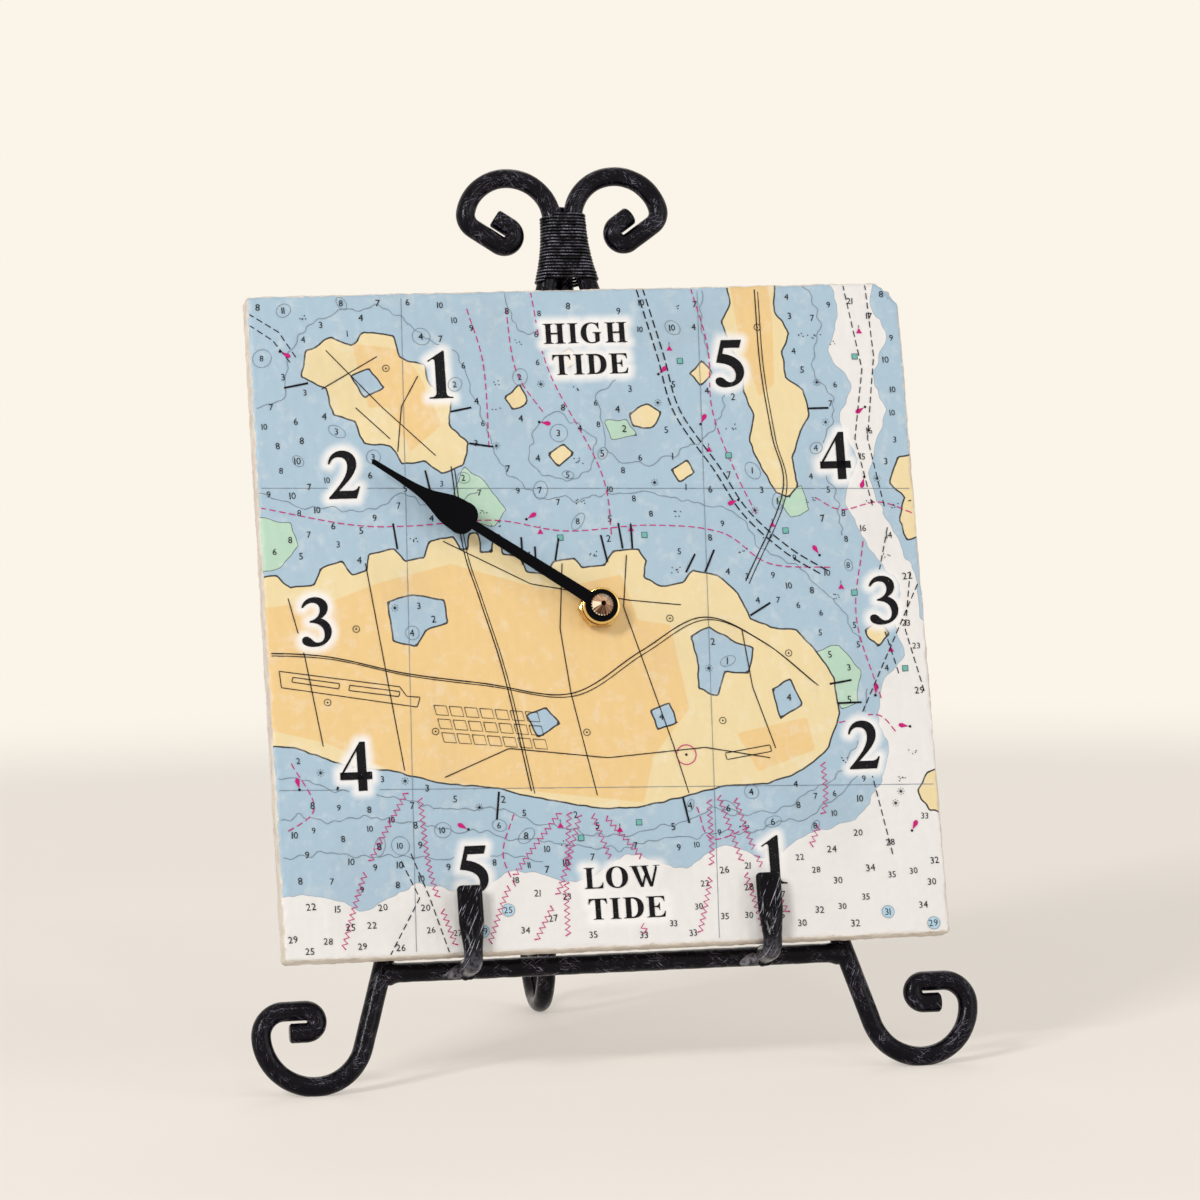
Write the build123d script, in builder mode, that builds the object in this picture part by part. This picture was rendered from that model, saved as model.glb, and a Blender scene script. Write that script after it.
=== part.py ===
from build123d import *
from math import acos, atan2, cos, degrees, hypot, radians, sin, sqrt, tan
import os

# Tide clock: a square stone dial with one hand, a battery movement clamped
# behind it, and a wrought easel of three rods bound together with wire.
# Millimetres and degrees. +Z is up, the dial faces -Y, and the feet stand on
# Z = 0. The origin is on the ground, in the middle of the width and the depth.

os.makedirs("parts", exist_ok=True)

# Stone dial
tile_side = 203.2
tile_thickness = 9.2
tile_edge_radius = 1.4
tile_hole_radius = 4.75
corner_chip = 5.0                   # depth of the chipped corner, along the diagonal
corner_chip_tilt = 35.0
dial_rise = 1.5                     # the hand's axis, above the middle of the tile

# Easel rods
lean = 15.8                         # how far the dial leans back from upright
rod_radius = 3.0
rest_gap = 0.05                     # between the tile and the rods that it rests on
rod_side_gap = 0.3                  # between each front rod and the middle line
splay = 17.07                       # each front leg from the middle line
knee_radius = 67.0
scroll_rise = 24.9                  # middle of the top scrolls above the tile's top edge
top_scroll_radius = 13.6
top_scroll_turn = 167.0
shoulder_radius = 5.0
shoulder_turn = 68.0
shoulder_run = 9.2
top_curl_tail = 5.5
foot_drop = 32.8                    # lowest point of a foot's middle line below the bar
foot_radius = 15.5
foot_inner_radius = 7.3
foot_run = 6.3
curl_radius = 3.3
foot_curl_tail = 5.0
foot_flat = 0.3                     # filed off under each foot

# Rear leg
rear_splay = 14.0                   # the rear leg from upright
rear_bend_radius = 22.0
rear_above_binding = 4.0
rear_below_binding = 2.0

# Wire binding
binding_turns = 21
binding_height = 20.6
binding_above_scroll = 1.0          # top turn above the middle of the top scrolls
wire_radius = 0.28
binding_gap = 0.2                   # between the wire and the rods
wire_tail = 2.5
samples_per_turn = 48

# Bar and hooks
weld_rise = 0.8
weld_reach = 6.0
hook_spacing = 91.0
hook_slack = 2.2                    # between the tile's face and a hook's lip
hook_rod_radius = 2.85
hook_bend_radius = 4.0
lip_width = 7.6
lip_thickness = 3.0
lip_height = 20.3                   # a lip's top above the tile's lower edge
lip_neck = 8.0                      # from round rod to flat lip
lip_corner_radius = 1.4

# Movement case
gasket_side = 42.0
gasket_thickness = 1.0
case_width = 55.0
case_above_hand = 27.0              # from the hand's axis to the top and the bottom
case_below_hand = 29.0
case_depth = 15.5
case_corner_radius = 5.0
case_wall = 1.5
cover_thickness = 1.5
cover_ledge = 0.5
cover_clearance = 0.1
bay_wall = 1.0
post_radius = 1.2
post_inset = 0.5

# Battery and contacts
battery_radius = 7.05
battery_edge_radius = 0.6
battery_nub_radius = 2.7
battery_nub_height = 1.2
battery_clearance = 0.1
contact_thickness = 0.4
contact_width = 6.0
contact_bow = 1.6                   # how far the spring leaf stands off the bay's end
flat_contact_thickness = 0.3

# Bushing, washer and nuts
bushing_radius = 3.95
bushing_flange_radius = 5.5
bushing_flange_thickness = 0.8
bushing_beyond_nut = 0.9
bushing_chamfer = 0.35
washer_radius = 5.5
washer_thickness = 0.8
nut_across_flats = 11.1
nut_thickness = 3.4
nut_chamfer = 0.7
nut_chamfer_angle = 30.0
thread_gap = 0.03
cap_nut_radius = 3.45
cap_rim_height = 1.2
cap_cone_height = 2.2
cap_tip_radius = 0.55
cap_bore_depth = 2.0
cap_notches = 24
cap_notch_radius = 0.22
cap_notch_depth = 0.12

# Hand
hand_length = 81.6
hand_angle = 145.2                  # round from +X, seen from the front
hand_thickness = 0.5
spade_half_width = 5.0
hub_radius = 5.0
collet_radius = 3.1
collet_neck_radius = 2.3
collet_thickness = 0.7
arbor_tip_radius = 1.6
arbor_flat = 1.2                    # half the width across the arbor's two flats
arbor_thread_radius = 1.25
arbor_thread_length = 1.95
shoulder_gap = 0.25                 # the arbor's shoulder stands this far out of the bushing

# Half the hand's outline from hub to tip: places along it as shares of its
# length, and half widths as shares of the spade's greatest
stem_start_shares = (0.045, 0.38)
stem_end_shares = (0.555, 0.28)
spade_back_shares = (0.569, 0.78)
spade_middle_shares = (0.619, 1.0)
spade_edge_shares = [(0.678, 0.88), (0.7255, 0.60), (0.766, 0.40), (0.852, 0.23)]
hand_tip_shares = (0.992, 0.15)
hand_tip_slope_share = 0.02         # fall of the edge at the tip for a unit of length

# Running fits
running_gap = 0.05
press_gap = 0.02
overrun = 1.0

# Wheels: numbers of teeth, and sizes of a tooth (its module)
minute_wheel_room = 4.127           # from the minute wheel's teeth to the pocket's side
tide_teeth = 46
minute_pinion_teeth = 10
minute_teeth = 27
cannon_teeth = 10
centre_teeth = 64
third_teeth = 60
seconds_teeth = 40
step_teeth = 48
pinion_teeth = 8
centre_module = 0.30
third_module = 0.28
seconds_module = 0.28
step_module = 0.24
addendum_share = 0.95               # shares of the module
dedendum_share = 1.20
root_half_share = 0.80
tip_half_share = 0.28

# Places of the arbors, from the hand's axis
minute_angle = 180.0
rotor_aside = 8.5
rotor_above = 15.0
step_angle = -50.0                  # from the rotor
seconds_angle = 15.0                # from the intermediate arbor

# Levels in the movement, back from the inside of the case's front
tide_wheel_level = 0.5
tide_wheel_thickness = 1.0
minute_pinion_level = 0.4
minute_pinion_thickness = 1.3
minute_wheel_level = 2.2
minute_wheel_thickness = 0.8
cannon_level = 2.0
cannon_thickness = 1.3
plate_level = 3.7
plate_thickness = 0.8
third_pinion_level = 4.9
centre_wheel_level = 5.1
magnet_level = 5.1
stator_level = 5.6
seconds_pinion_level = 6.4
third_wheel_level = 6.6
step_pinion_level = 7.7
seconds_wheel_level = 7.9
rotor_pinion_level = 9.0
step_wheel_level = 9.2
rear_pivot_level = 10.6
train_wheel_thickness = 0.6
train_pinion_thickness = 1.2

# Arbors
arbor_radius = 0.5
pivot_radius = 0.35
pivot_length = 0.9
centre_arbor_radius = 0.75
minute_arbor_radius = 1.25
minute_pivot_radius = 0.6
tide_arbor_radius = 2.5
arbor_socket_depth = 1.3
boss_wall = 0.7

# Set knob
knob_radius = 5.2
knob_height = 3.6
knob_gap = 0.6
knob_notches = 20
knob_notch_radius = 0.5
knob_recess_radius = 7.0
knob_recess_depth = 0.6

# Motor and circuit
magnet_radius = 3.0
magnet_thickness = 2.2
stator_thickness = 0.7
stator_gap = 0.4
stator_ring = 1.0
stator_edge_gap = 0.5
stator_bar_width = 4.0
stator_arm_width = 5.0
stator_pad_radius = 1.2
coil_radius = 2.3
coil_end_gap = 0.5
coil_above_rotor = 7.3
core_width = 3.0
board_height = 30.0
board_thickness = 0.8
board_edge_gap = 0.6
board_arbor_gap = 2.0               # to the third arbor's pinion
crystal_radius = 1.0
crystal_length = 6.0
crystal_edge_gap = 1.5
chip_side = 4.0
chip_height = 1.0

# The easel's heights, in the sloping plane through the front rods' middle
# lines, measured up the slope from behind the middle of the tile

half_side = tile_side / 2
scroll_w = half_side + scroll_rise
binding_top_w = scroll_w + binding_above_scroll
binding_bottom_w = binding_top_w - binding_height
bar_w = -(half_side + rest_gap + hook_rod_radius)
foot_w = bar_w - foot_drop
rod_to_face = rod_radius + rest_gap + tile_thickness
lip_middle = rod_to_face + hook_slack + lip_thickness / 2
hook_reach = lip_middle - hook_bend_radius

lean_sin = sin(radians(lean))
lean_cos = cos(radians(lean))
splay_sin = sin(radians(splay))
splay_cos = cos(radians(splay))
rear_sin = sin(radians(rear_splay))
rear_cos = cos(radians(rear_splay))
foot_axis_z = rod_radius - foot_flat
rod_plane_z = foot_axis_z - foot_w * lean_cos

# Rear leg from the side, as (Y, Z) with Y from the rod plane's middle: its
# bound top lies behind the gap between the two front rods
rod_from_middle = rod_radius + rod_side_gap
rear_offset = sqrt((2 * rod_radius + rod_side_gap) ** 2 - rod_from_middle**2)


def side_point(w):
    """The rear rod's middle line where it runs along the front rods."""
    return (
        w * lean_sin + rear_offset * lean_cos,
        rod_plane_z + w * lean_cos - rear_offset * lean_sin,
    )


rear_top = side_point(binding_top_w + rear_above_binding)
rear_bend = side_point(binding_bottom_w - rear_below_binding)
rear_prop_y = rear_bend[0] + rear_bend_radius * (lean_cos - rear_cos)
rear_prop_z = rear_bend[1] - rear_bend_radius * (lean_sin + rear_sin)
rear_foot_z = foot_axis_z + foot_radius * (1 - rear_sin)
rear_run = (rear_prop_z - rear_foot_z) / rear_cos
rear_foot_y = rear_prop_y + rear_run * rear_sin + foot_radius * rear_cos

# The depth runs from the front of the hooks to the back of the rear foot
depth_back = rear_foot_y + foot_radius + rod_radius
depth_front = (
    (bar_w + hook_bend_radius) * lean_sin
    - hook_reach * lean_cos
    - hook_bend_radius
    - hook_rod_radius
)
rod_plane_y = -(depth_front + depth_back) / 2

forward = Vector(0, -lean_cos, lean_sin)
upslope = Vector(0, lean_sin, lean_cos)
sideways = Vector(1, 0, 0)
rod_plane = Plane(origin=(0, rod_plane_y, rod_plane_z), x_dir=sideways, z_dir=forward)
side_plane = Plane(origin=(0, rod_plane_y, 0), x_dir=(0, 1, 0), z_dir=sideways)
face_plane = rod_plane.offset(rod_to_face)
dial = Plane(origin=face_plane.origin + upslope * dial_rise, x_dir=sideways, z_dir=forward)

print("front feet to rear foot:", round(rear_foot_y - foot_w * lean_sin, 2))


def behind(depth):
    """The plane this far behind the dial's front face."""
    return dial.offset(-depth)


# Easel: two front legs, a rear leg, the bar and its two hooks

def foot_scroll(leg, turn):
    """Carry a straight leg on into the curl that it stands on."""
    sole = JernArc(leg @ 1, leg % 1, foot_radius, turn)
    crown = JernArc(sole @ 1, sole % 1, foot_inner_radius, 90)
    run = Line(crown @ 1, crown @ 1 + (crown % 1) * foot_run)
    curl = JernArc(run @ 1, run % 1, curl_radius, 180)
    Line(curl @ 1, curl @ 1 + (curl % 1) * foot_curl_tail)


knee_w = scroll_w - knee_radius * splay_sin
knee_u = rod_from_middle + knee_radius * (1 - splay_cos)
leg_foot_w = foot_w + foot_radius * (1 - splay_sin)
leg_run = (knee_w - leg_foot_w) / splay_cos


def leg_u(w):
    """How far a front leg's middle line is from the middle at this height."""
    if w >= scroll_w:
        return rod_from_middle
    if w >= knee_w:
        return rod_from_middle + knee_radius - sqrt(knee_radius**2 - (scroll_w - w) ** 2)
    return knee_u + (knee_w - w) * tan(radians(splay))


with BuildPart() as right_leg:
    with BuildLine(rod_plane) as right_line:
        knee = JernArc((rod_from_middle, scroll_w), (0, -1), knee_radius, splay)
        shank = Line(knee @ 1, knee @ 1 + (knee % 1) * leg_run)
        foot_scroll(shank, 180 - splay)
        over = JernArc((rod_from_middle, scroll_w), (0, 1), top_scroll_radius, -top_scroll_turn)
        shoulder = JernArc(over @ 1, over % 1, shoulder_radius, -shoulder_turn)
        under = Line(shoulder @ 1, shoulder @ 1 + (shoulder % 1) * shoulder_run)
        curl = JernArc(under @ 1, under % 1, curl_radius, -180)
        tail = Line(curl @ 1, curl @ 1 + (curl % 1) * top_curl_tail)
    with BuildSketch(Plane(origin=tail @ 1, z_dir=tail % 1)):
        Circle(rod_radius)
    sweep(path=right_line.line)
    split(bisect_by=Plane.XY, keep=Keep.TOP)
right_leg.part.label = "right_leg"
export_step(right_leg.part, "parts/right_leg.step")

with BuildPart() as left_leg:
    mirror(right_leg.part, about=Plane.YZ)
left_leg.part.label = "left_leg"
export_step(left_leg.part, "parts/left_leg.step")

with BuildPart() as rear_leg:
    with BuildLine(side_plane) as rear_line:
        bound = Line(rear_top, rear_bend)
        bend = JernArc(bound @ 1, bound % 1, rear_bend_radius, lean + rear_splay)
        prop = Line(bend @ 1, bend @ 1 + (bend % 1) * rear_run)
        foot_scroll(prop, 180 - rear_splay)
    with BuildSketch(Plane(origin=bound @ 0, z_dir=bound % 0)):
        Circle(rod_radius)
    sweep(path=rear_line.line)
    split(bisect_by=Plane.XY, keep=Keep.TOP)
rear_leg.part.label = "rear_leg"
export_step(rear_leg.part, "parts/rear_leg.step")

# Cross bar, coped to the front legs, with a weld bead round each end
bar_half = leg_u(bar_w)
bar_centre = rod_plane.origin + upslope * bar_w
bead_radius = rod_radius + weld_rise

with BuildPart() as cross_bar:
    with BuildSketch(Plane(origin=bar_centre, x_dir=sideways, z_dir=forward)):
        with BuildLine():
            Polyline(
                (-bar_half, 0),
                (-bar_half, bead_radius),
                (bead_radius - bar_half, bead_radius),
                (weld_reach - bar_half, rod_radius),
                (bar_half - weld_reach, rod_radius),
                (bar_half - bead_radius, bead_radius),
                (bar_half, bead_radius),
                (bar_half, 0),
                close=True,
            )
        make_face()
    revolve(axis=Axis(bar_centre, sideways))
    add(left_leg.part, mode=Mode.SUBTRACT)
    add(right_leg.part, mode=Mode.SUBTRACT)
cross_bar.part.label = "cross_bar"
export_step(cross_bar.part, "parts/cross_bar.step")

# Hook: a rod coped to the bar, run forward under the tile, bent up and
# hammered flat
lip_rise = lip_height + rest_gap + hook_rod_radius - hook_bend_radius - lip_neck


def hook_at(place_x):
    """A hook at this distance from the middle."""
    root = bar_centre + sideways * place_x
    with BuildPart() as hook:
        with BuildLine(Plane(origin=root, x_dir=forward, z_dir=-sideways)) as hook_line:
            shelf = Line((0, 0), (hook_reach, 0))
            rise = JernArc(shelf @ 1, shelf % 1, hook_bend_radius, 90)
        with BuildSketch(Plane(origin=root, x_dir=sideways, z_dir=forward)):
            Circle(hook_rod_radius)
        sweep(path=hook_line.line)
        neck = Plane(origin=rise @ 1, x_dir=sideways, z_dir=upslope)
        with BuildSketch(neck):
            Circle(hook_rod_radius)
        with BuildSketch(neck.offset(lip_neck)):
            RectangleRounded(lip_width, lip_thickness, lip_corner_radius)
        loft()
        with BuildSketch(neck.offset(lip_neck)):
            RectangleRounded(lip_width, lip_thickness, lip_corner_radius)
        extrude(amount=lip_rise)
        lip_top = hook.faces().sort_by(Axis(root, upslope))[-1]
        fillet(lip_top.edges(), lip_corner_radius - press_gap)
        add(cross_bar.part, mode=Mode.SUBTRACT)
    return hook


left_hook = hook_at(-hook_spacing / 2)
left_hook.part.label = "left_hook"
export_step(left_hook.part, "parts/left_hook.step")

right_hook = hook_at(hook_spacing / 2)
right_hook.part.label = "right_hook"
export_step(right_hook.part, "parts/right_hook.step")

# Wire binding: one wire wound round all three rods, from the top down
wire_offset = rod_radius + binding_gap + wire_radius
binding_pitch = binding_height / binding_turns


def binding_corners(w):
    """Where the wire's three straight runs round the rods would cross."""
    slope = atan2(rear_offset, leg_u(w))
    front_u = leg_u(w) + wire_offset / sin(slope) + wire_offset / tan(slope)
    rear_depth = rear_offset + wire_offset / cos(slope)
    return front_u, rear_depth


wire_points = [(-wire_tail, binding_top_w + binding_pitch / 3, wire_offset)]
for turn in range(binding_turns):
    right_w = binding_top_w - turn * binding_pitch
    rear_w = right_w - binding_pitch / 3
    left_w = rear_w - binding_pitch / 3
    wire_points.append((binding_corners(right_w)[0], right_w, wire_offset))
    wire_points.append((0, rear_w, -binding_corners(rear_w)[1]))
    wire_points.append((-binding_corners(left_w)[0], left_w, wire_offset))
wire_points.append((wire_tail, left_w - binding_pitch / 3, wire_offset))

with BuildPart() as wire_binding:
    with BuildLine(rod_plane) as wire_line:
        wound = FilletPolyline(*wire_points, radius=wire_offset)
    with BuildSketch(Plane(origin=wound @ 0, z_dir=wound % 0)):
        Circle(wire_radius)
    sweep(path=wire_line.line)
wire_binding.part.label = "wire_binding"
export_step(wire_binding.part, "parts/wire_binding.step")

samples = [
    wound.position_at(i / (samples_per_turn * binding_turns))
    for i in range(samples_per_turn * binding_turns + 1)
]
least_gap = min(
    (point - other).length - 2 * wire_radius
    for i, point in enumerate(samples)
    for other in samples[i + samples_per_turn // 2 : i + 2 * samples_per_turn]
)
print("wire binding, least gap to itself:", round(least_gap, 3))

# Stone dial: tumbled edges, one chipped corner, and a hole for the bushing
chip_across = (sideways + upslope).normalized()
chip_normal = chip_across * cos(radians(corner_chip_tilt)) + forward * sin(radians(corner_chip_tilt))
chip_corner = face_plane.origin + (sideways + upslope) * half_side

with BuildPart() as stone_tile:
    with BuildSketch(face_plane):
        Rectangle(tile_side, tile_side)
    extrude(amount=-tile_thickness)
    fillet(stone_tile.edges(), tile_edge_radius)
    split(
        bisect_by=Plane(origin=chip_corner - chip_across * corner_chip, z_dir=chip_normal),
        keep=Keep.BOTTOM,
    )
    with BuildSketch(dial):
        Circle(tile_hole_radius)
    extrude(amount=-tile_thickness, mode=Mode.SUBTRACT)
stone_tile.part.label = "stone_tile"
export_step(stone_tile.part, "parts/stone_tile.step")

# Where the movement's arbors stand, seen from the front

def place_from(start, reach, angle):
    """The point this far from start at this angle."""
    return (start[0] + reach * cos(radians(angle)), start[1] + reach * sin(radians(angle)))


def direction_of(start, end):
    """The angle of the line from one arbor to another."""
    return degrees(atan2(end[1] - start[1], end[0] - start[0]))


def reach_of(teeth, module):
    """Distance between a wheel of this many teeth and a train pinion."""
    return (teeth + pinion_teeth) * module / 2


# The minute wheel's teeth reach to a set distance from the pocket's side
inner_half = case_width / 2 - case_wall
pocket_half = inner_half - cover_ledge
minute_reach_share = (minute_teeth + 2 * addendum_share) / (minute_teeth + cannon_teeth)
motion_distance = (pocket_half - minute_wheel_room) / (1 + minute_reach_share)
tide_module = 2 * motion_distance / (tide_teeth + minute_pinion_teeth)
minute_module = 2 * motion_distance / (minute_teeth + cannon_teeth)
centre_place = (0, 0)
minute_place = place_from(centre_place, motion_distance, minute_angle)
rotor_place = (-rotor_aside, rotor_above)
step_place = place_from(rotor_place, reach_of(step_teeth, step_module), step_angle)
seconds_place = place_from(step_place, reach_of(seconds_teeth, seconds_module), seconds_angle)

# The third arbor closes a triangle with the centre and seconds arbors
centre_reach = reach_of(centre_teeth, centre_module)
third_reach = reach_of(third_teeth, third_module)
seconds_reach = hypot(*seconds_place)
third_turn = acos(
    (centre_reach**2 + seconds_reach**2 - third_reach**2) / (2 * centre_reach * seconds_reach)
)
third_place = place_from(
    centre_place, centre_reach, direction_of(centre_place, seconds_place) - degrees(third_turn)
)
pivot_places = [third_place, seconds_place, step_place, rotor_place]

# Movement case: front shell with the battery bay, gasket and rear cover
case_front = tile_thickness + gasket_thickness
inside = case_front + case_wall
case_back = case_front + case_depth
cover_front = case_back - cover_thickness
case_middle = (case_above_hand - case_below_hand) / 2
inner_top = case_above_hand - case_wall
inner_bottom = case_wall - case_below_hand
bay_height = 2 * (battery_radius + battery_clearance)
bay_middle = inner_bottom + bay_height / 2
pocket_bottom = inner_bottom + bay_height + bay_wall
pocket_top = inner_top - cover_ledge
stator_top = rotor_above + magnet_radius + stator_gap + stator_ring
post_x = pocket_half - post_inset - post_radius
post_places = [
    (-post_x, pocket_bottom + post_radius),
    (post_x, pocket_bottom + post_radius),
    (-post_x, stator_top - post_radius),
    (post_x, stator_top - post_radius),
]

with BuildPart() as front_case:
    with BuildSketch(behind(case_front)):
        with Locations((0, case_middle)):
            RectangleRounded(case_width, case_above_hand + case_below_hand, case_corner_radius)
    extrude(amount=-case_depth)
    # wheel pocket, then the wider step that the cover lies in
    with BuildSketch(behind(inside)):
        with Locations((0, (pocket_top + pocket_bottom) / 2)):
            Rectangle(2 * pocket_half, pocket_top - pocket_bottom)
    extrude(amount=-case_depth, mode=Mode.SUBTRACT)
    with BuildSketch(behind(cover_front)):
        with Locations((0, (inner_top + pocket_bottom) / 2)):
            Rectangle(2 * inner_half, inner_top - pocket_bottom)
    extrude(amount=-case_depth, mode=Mode.SUBTRACT)
    # battery bay, open to the back
    with BuildSketch(behind(inside)):
        with Locations((0, bay_middle)):
            Rectangle(2 * inner_half, bay_height)
    extrude(amount=-case_depth, mode=Mode.SUBTRACT)
    # posts under the middle plate
    with BuildSketch(behind(inside)):
        with Locations(*post_places):
            Circle(post_radius)
    extrude(amount=-plate_level)
    # hole for the bushing, recess for its flange, and the minute arbor's pivot
    with BuildSketch(behind(inside)):
        Circle(bushing_flange_radius)
    extrude(amount=bushing_flange_thickness, mode=Mode.SUBTRACT)
    with BuildSketch(behind(case_front)):
        Circle(bushing_radius + thread_gap)
    extrude(amount=-case_wall, mode=Mode.SUBTRACT)
    with BuildSketch(behind(inside)):
        with Locations(minute_place):
            Circle(minute_pivot_radius + running_gap)
    extrude(amount=pivot_length, mode=Mode.SUBTRACT)
front_case.part.label = "front_case"
export_step(front_case.part, "parts/front_case.step")

with BuildPart() as case_gasket:
    with BuildSketch(behind(tile_thickness)):
        RectangleRounded(gasket_side, gasket_side, case_corner_radius)
        Circle(bushing_radius + running_gap, mode=Mode.SUBTRACT)
    extrude(amount=-gasket_thickness)
case_gasket.part.label = "case_gasket"
export_step(case_gasket.part, "parts/case_gasket.step")

with BuildPart() as rear_cover:
    cover_height = inner_top - pocket_bottom - 2 * cover_clearance
    with BuildSketch(behind(cover_front)):
        with Locations((0, (inner_top + pocket_bottom) / 2)):
            Rectangle(2 * (inner_half - cover_clearance), cover_height)
    extrude(amount=-cover_thickness)
    # bosses that hold the rear pivots
    with BuildSketch(behind(inside + rear_pivot_level)):
        Circle(centre_arbor_radius + running_gap + boss_wall)
        with Locations(*pivot_places):
            Circle(pivot_radius + running_gap + boss_wall)
    extrude(amount=inside + rear_pivot_level - cover_front)
    with BuildSketch(behind(inside + rear_pivot_level)):
        Circle(centre_arbor_radius + running_gap)
        with Locations(*pivot_places):
            Circle(pivot_radius + running_gap)
    extrude(amount=-(pivot_length + running_gap), mode=Mode.SUBTRACT)
    # recess round the set knob, and the hole for its arbor
    with BuildSketch(behind(case_back)):
        with Locations(minute_place):
            Circle(knob_recess_radius)
    extrude(amount=knob_recess_depth, mode=Mode.SUBTRACT)
    with BuildSketch(behind(cover_front)):
        with Locations(minute_place):
            Circle(minute_arbor_radius + running_gap)
    extrude(amount=-cover_thickness, mode=Mode.SUBTRACT)
rear_cover.part.label = "rear_cover"
export_step(rear_cover.part, "parts/rear_cover.step")

# Bushing, washer and hex nut that clamp the dial to the case
nut_front = washer_thickness + nut_thickness
bushing_front = nut_front + bushing_beyond_nut

with BuildPart() as mounting_bushing:
    with BuildSketch(behind(inside)):
        Circle(bushing_flange_radius - press_gap)
    extrude(amount=bushing_flange_thickness)
    with BuildSketch(behind(inside)):
        Circle(bushing_radius)
    extrude(amount=inside + bushing_front)
    bushing_end = mounting_bushing.faces().sort_by(Axis(dial.origin, forward))[-1]
    chamfer(bushing_end.edges(), bushing_chamfer)
    with BuildSketch(behind(inside)):
        Circle(tide_arbor_radius + running_gap)
    extrude(amount=inside + bushing_front, mode=Mode.SUBTRACT)
mounting_bushing.part.label = "mounting_bushing"
export_step(mounting_bushing.part, "parts/mounting_bushing.step")

with BuildPart() as brass_washer:
    with BuildSketch(dial):
        Circle(washer_radius)
        Circle(bushing_radius + running_gap, mode=Mode.SUBTRACT)
    extrude(amount=washer_thickness)
brass_washer.part.label = "brass_washer"
export_step(brass_washer.part, "parts/brass_washer.step")

# A section through the hand's axis: across it first, then forward
turning_plane = Plane(origin=dial.origin, x_dir=sideways, z_dir=-upslope)
nut_corner = nut_across_flats / sqrt(3)
chamfer_depth = (nut_chamfer + overrun) * tan(radians(nut_chamfer_angle))

with BuildPart() as hex_nut:
    with BuildSketch(dial.offset(washer_thickness)):
        RegularPolygon(nut_across_flats / 2, 6, major_radius=False)
    extrude(amount=nut_thickness)
    # corners turned off by a cone
    with BuildSketch(turning_plane):
        with BuildLine():
            Polyline(
                (nut_corner - nut_chamfer, nut_front),
                (nut_corner + overrun, nut_front),
                (nut_corner + overrun, nut_front - chamfer_depth),
                close=True,
            )
        make_face()
    revolve(axis=Axis(dial.origin, forward), mode=Mode.SUBTRACT)
    with BuildSketch(dial.offset(washer_thickness)):
        Circle(bushing_radius + thread_gap)
    extrude(amount=nut_thickness, mode=Mode.SUBTRACT)
hex_nut.part.label = "hex_nut"
export_step(hex_nut.part, "parts/hex_nut.step")

# Toothed wheels and arbors

def mesh_phase(phase, teeth, other_teeth, direction):
    """The angle of a tooth of the other wheel that meshes with this one."""
    return direction + 180 + 180 / other_teeth - (phase - direction) * teeth / other_teeth


def toothed(level, thickness, place, teeth, module, phase):
    """Add a toothed wheel with its front at this level in the case."""
    tip = (teeth / 2 + addendum_share) * module
    root = (teeth / 2 - dedendum_share) * module
    tip_half = degrees(tip_half_share * module / tip)
    root_half = degrees(root_half_share * module / root)
    outline = []
    for tooth in range(teeth):
        middle = phase + tooth * 360 / teeth
        outline.append(place_from(place, root, middle - root_half))
        outline.append(place_from(place, tip, middle - tip_half))
        outline.append(place_from(place, tip, middle + tip_half))
        outline.append(place_from(place, root, middle + root_half))
    with BuildSketch(behind(inside + level)) as wheel:
        with BuildLine():
            Polyline(*outline, close=True)
        make_face()
    extrude(wheel.sketch, amount=-thickness)


def arbor(start, end, radius, place):
    """Add a round length between two levels in the case."""
    with BuildSketch(behind(inside + start)) as section:
        with Locations(place):
            Circle(radius)
    extrude(section.sketch, amount=start - end)


def bore(start, end, radius, place):
    """Cut a round hole between two levels in the case."""
    with BuildSketch(behind(inside + start)) as section:
        with Locations(place):
            Circle(radius)
    extrude(section.sketch, amount=start - end, mode=Mode.SUBTRACT)


def pivoted_arbor(place):
    """Add a train arbor with a thin pivot at each end."""
    front_shoulder = plate_level + plate_thickness + running_gap
    arbor(front_shoulder, rear_pivot_level - running_gap, arbor_radius, place)
    arbor(plate_level, rear_pivot_level + pivot_length, pivot_radius, place)


minute_pinion_phase = mesh_phase(
    0, tide_teeth, minute_pinion_teeth, direction_of(centre_place, minute_place)
)
cannon_phase = mesh_phase(0, minute_teeth, cannon_teeth, direction_of(minute_place, centre_place))
step_phase = mesh_phase(0, pinion_teeth, step_teeth, direction_of(rotor_place, step_place))
seconds_phase = mesh_phase(
    0, pinion_teeth, seconds_teeth, direction_of(step_place, seconds_place)
)
third_phase = mesh_phase(0, pinion_teeth, third_teeth, direction_of(seconds_place, third_place))
centre_phase = mesh_phase(0, pinion_teeth, centre_teeth, direction_of(third_place, centre_place))

# Tide wheel on its arbor: a shoulder, two flats for the hand, a threaded tip
shoulder_front = bushing_front + shoulder_gap
blade_back = shoulder_front + collet_thickness
blade_front = blade_back + hand_thickness
tide_wheel_back = tide_wheel_level + tide_wheel_thickness
socket_end = tide_wheel_back - arbor_socket_depth

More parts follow.
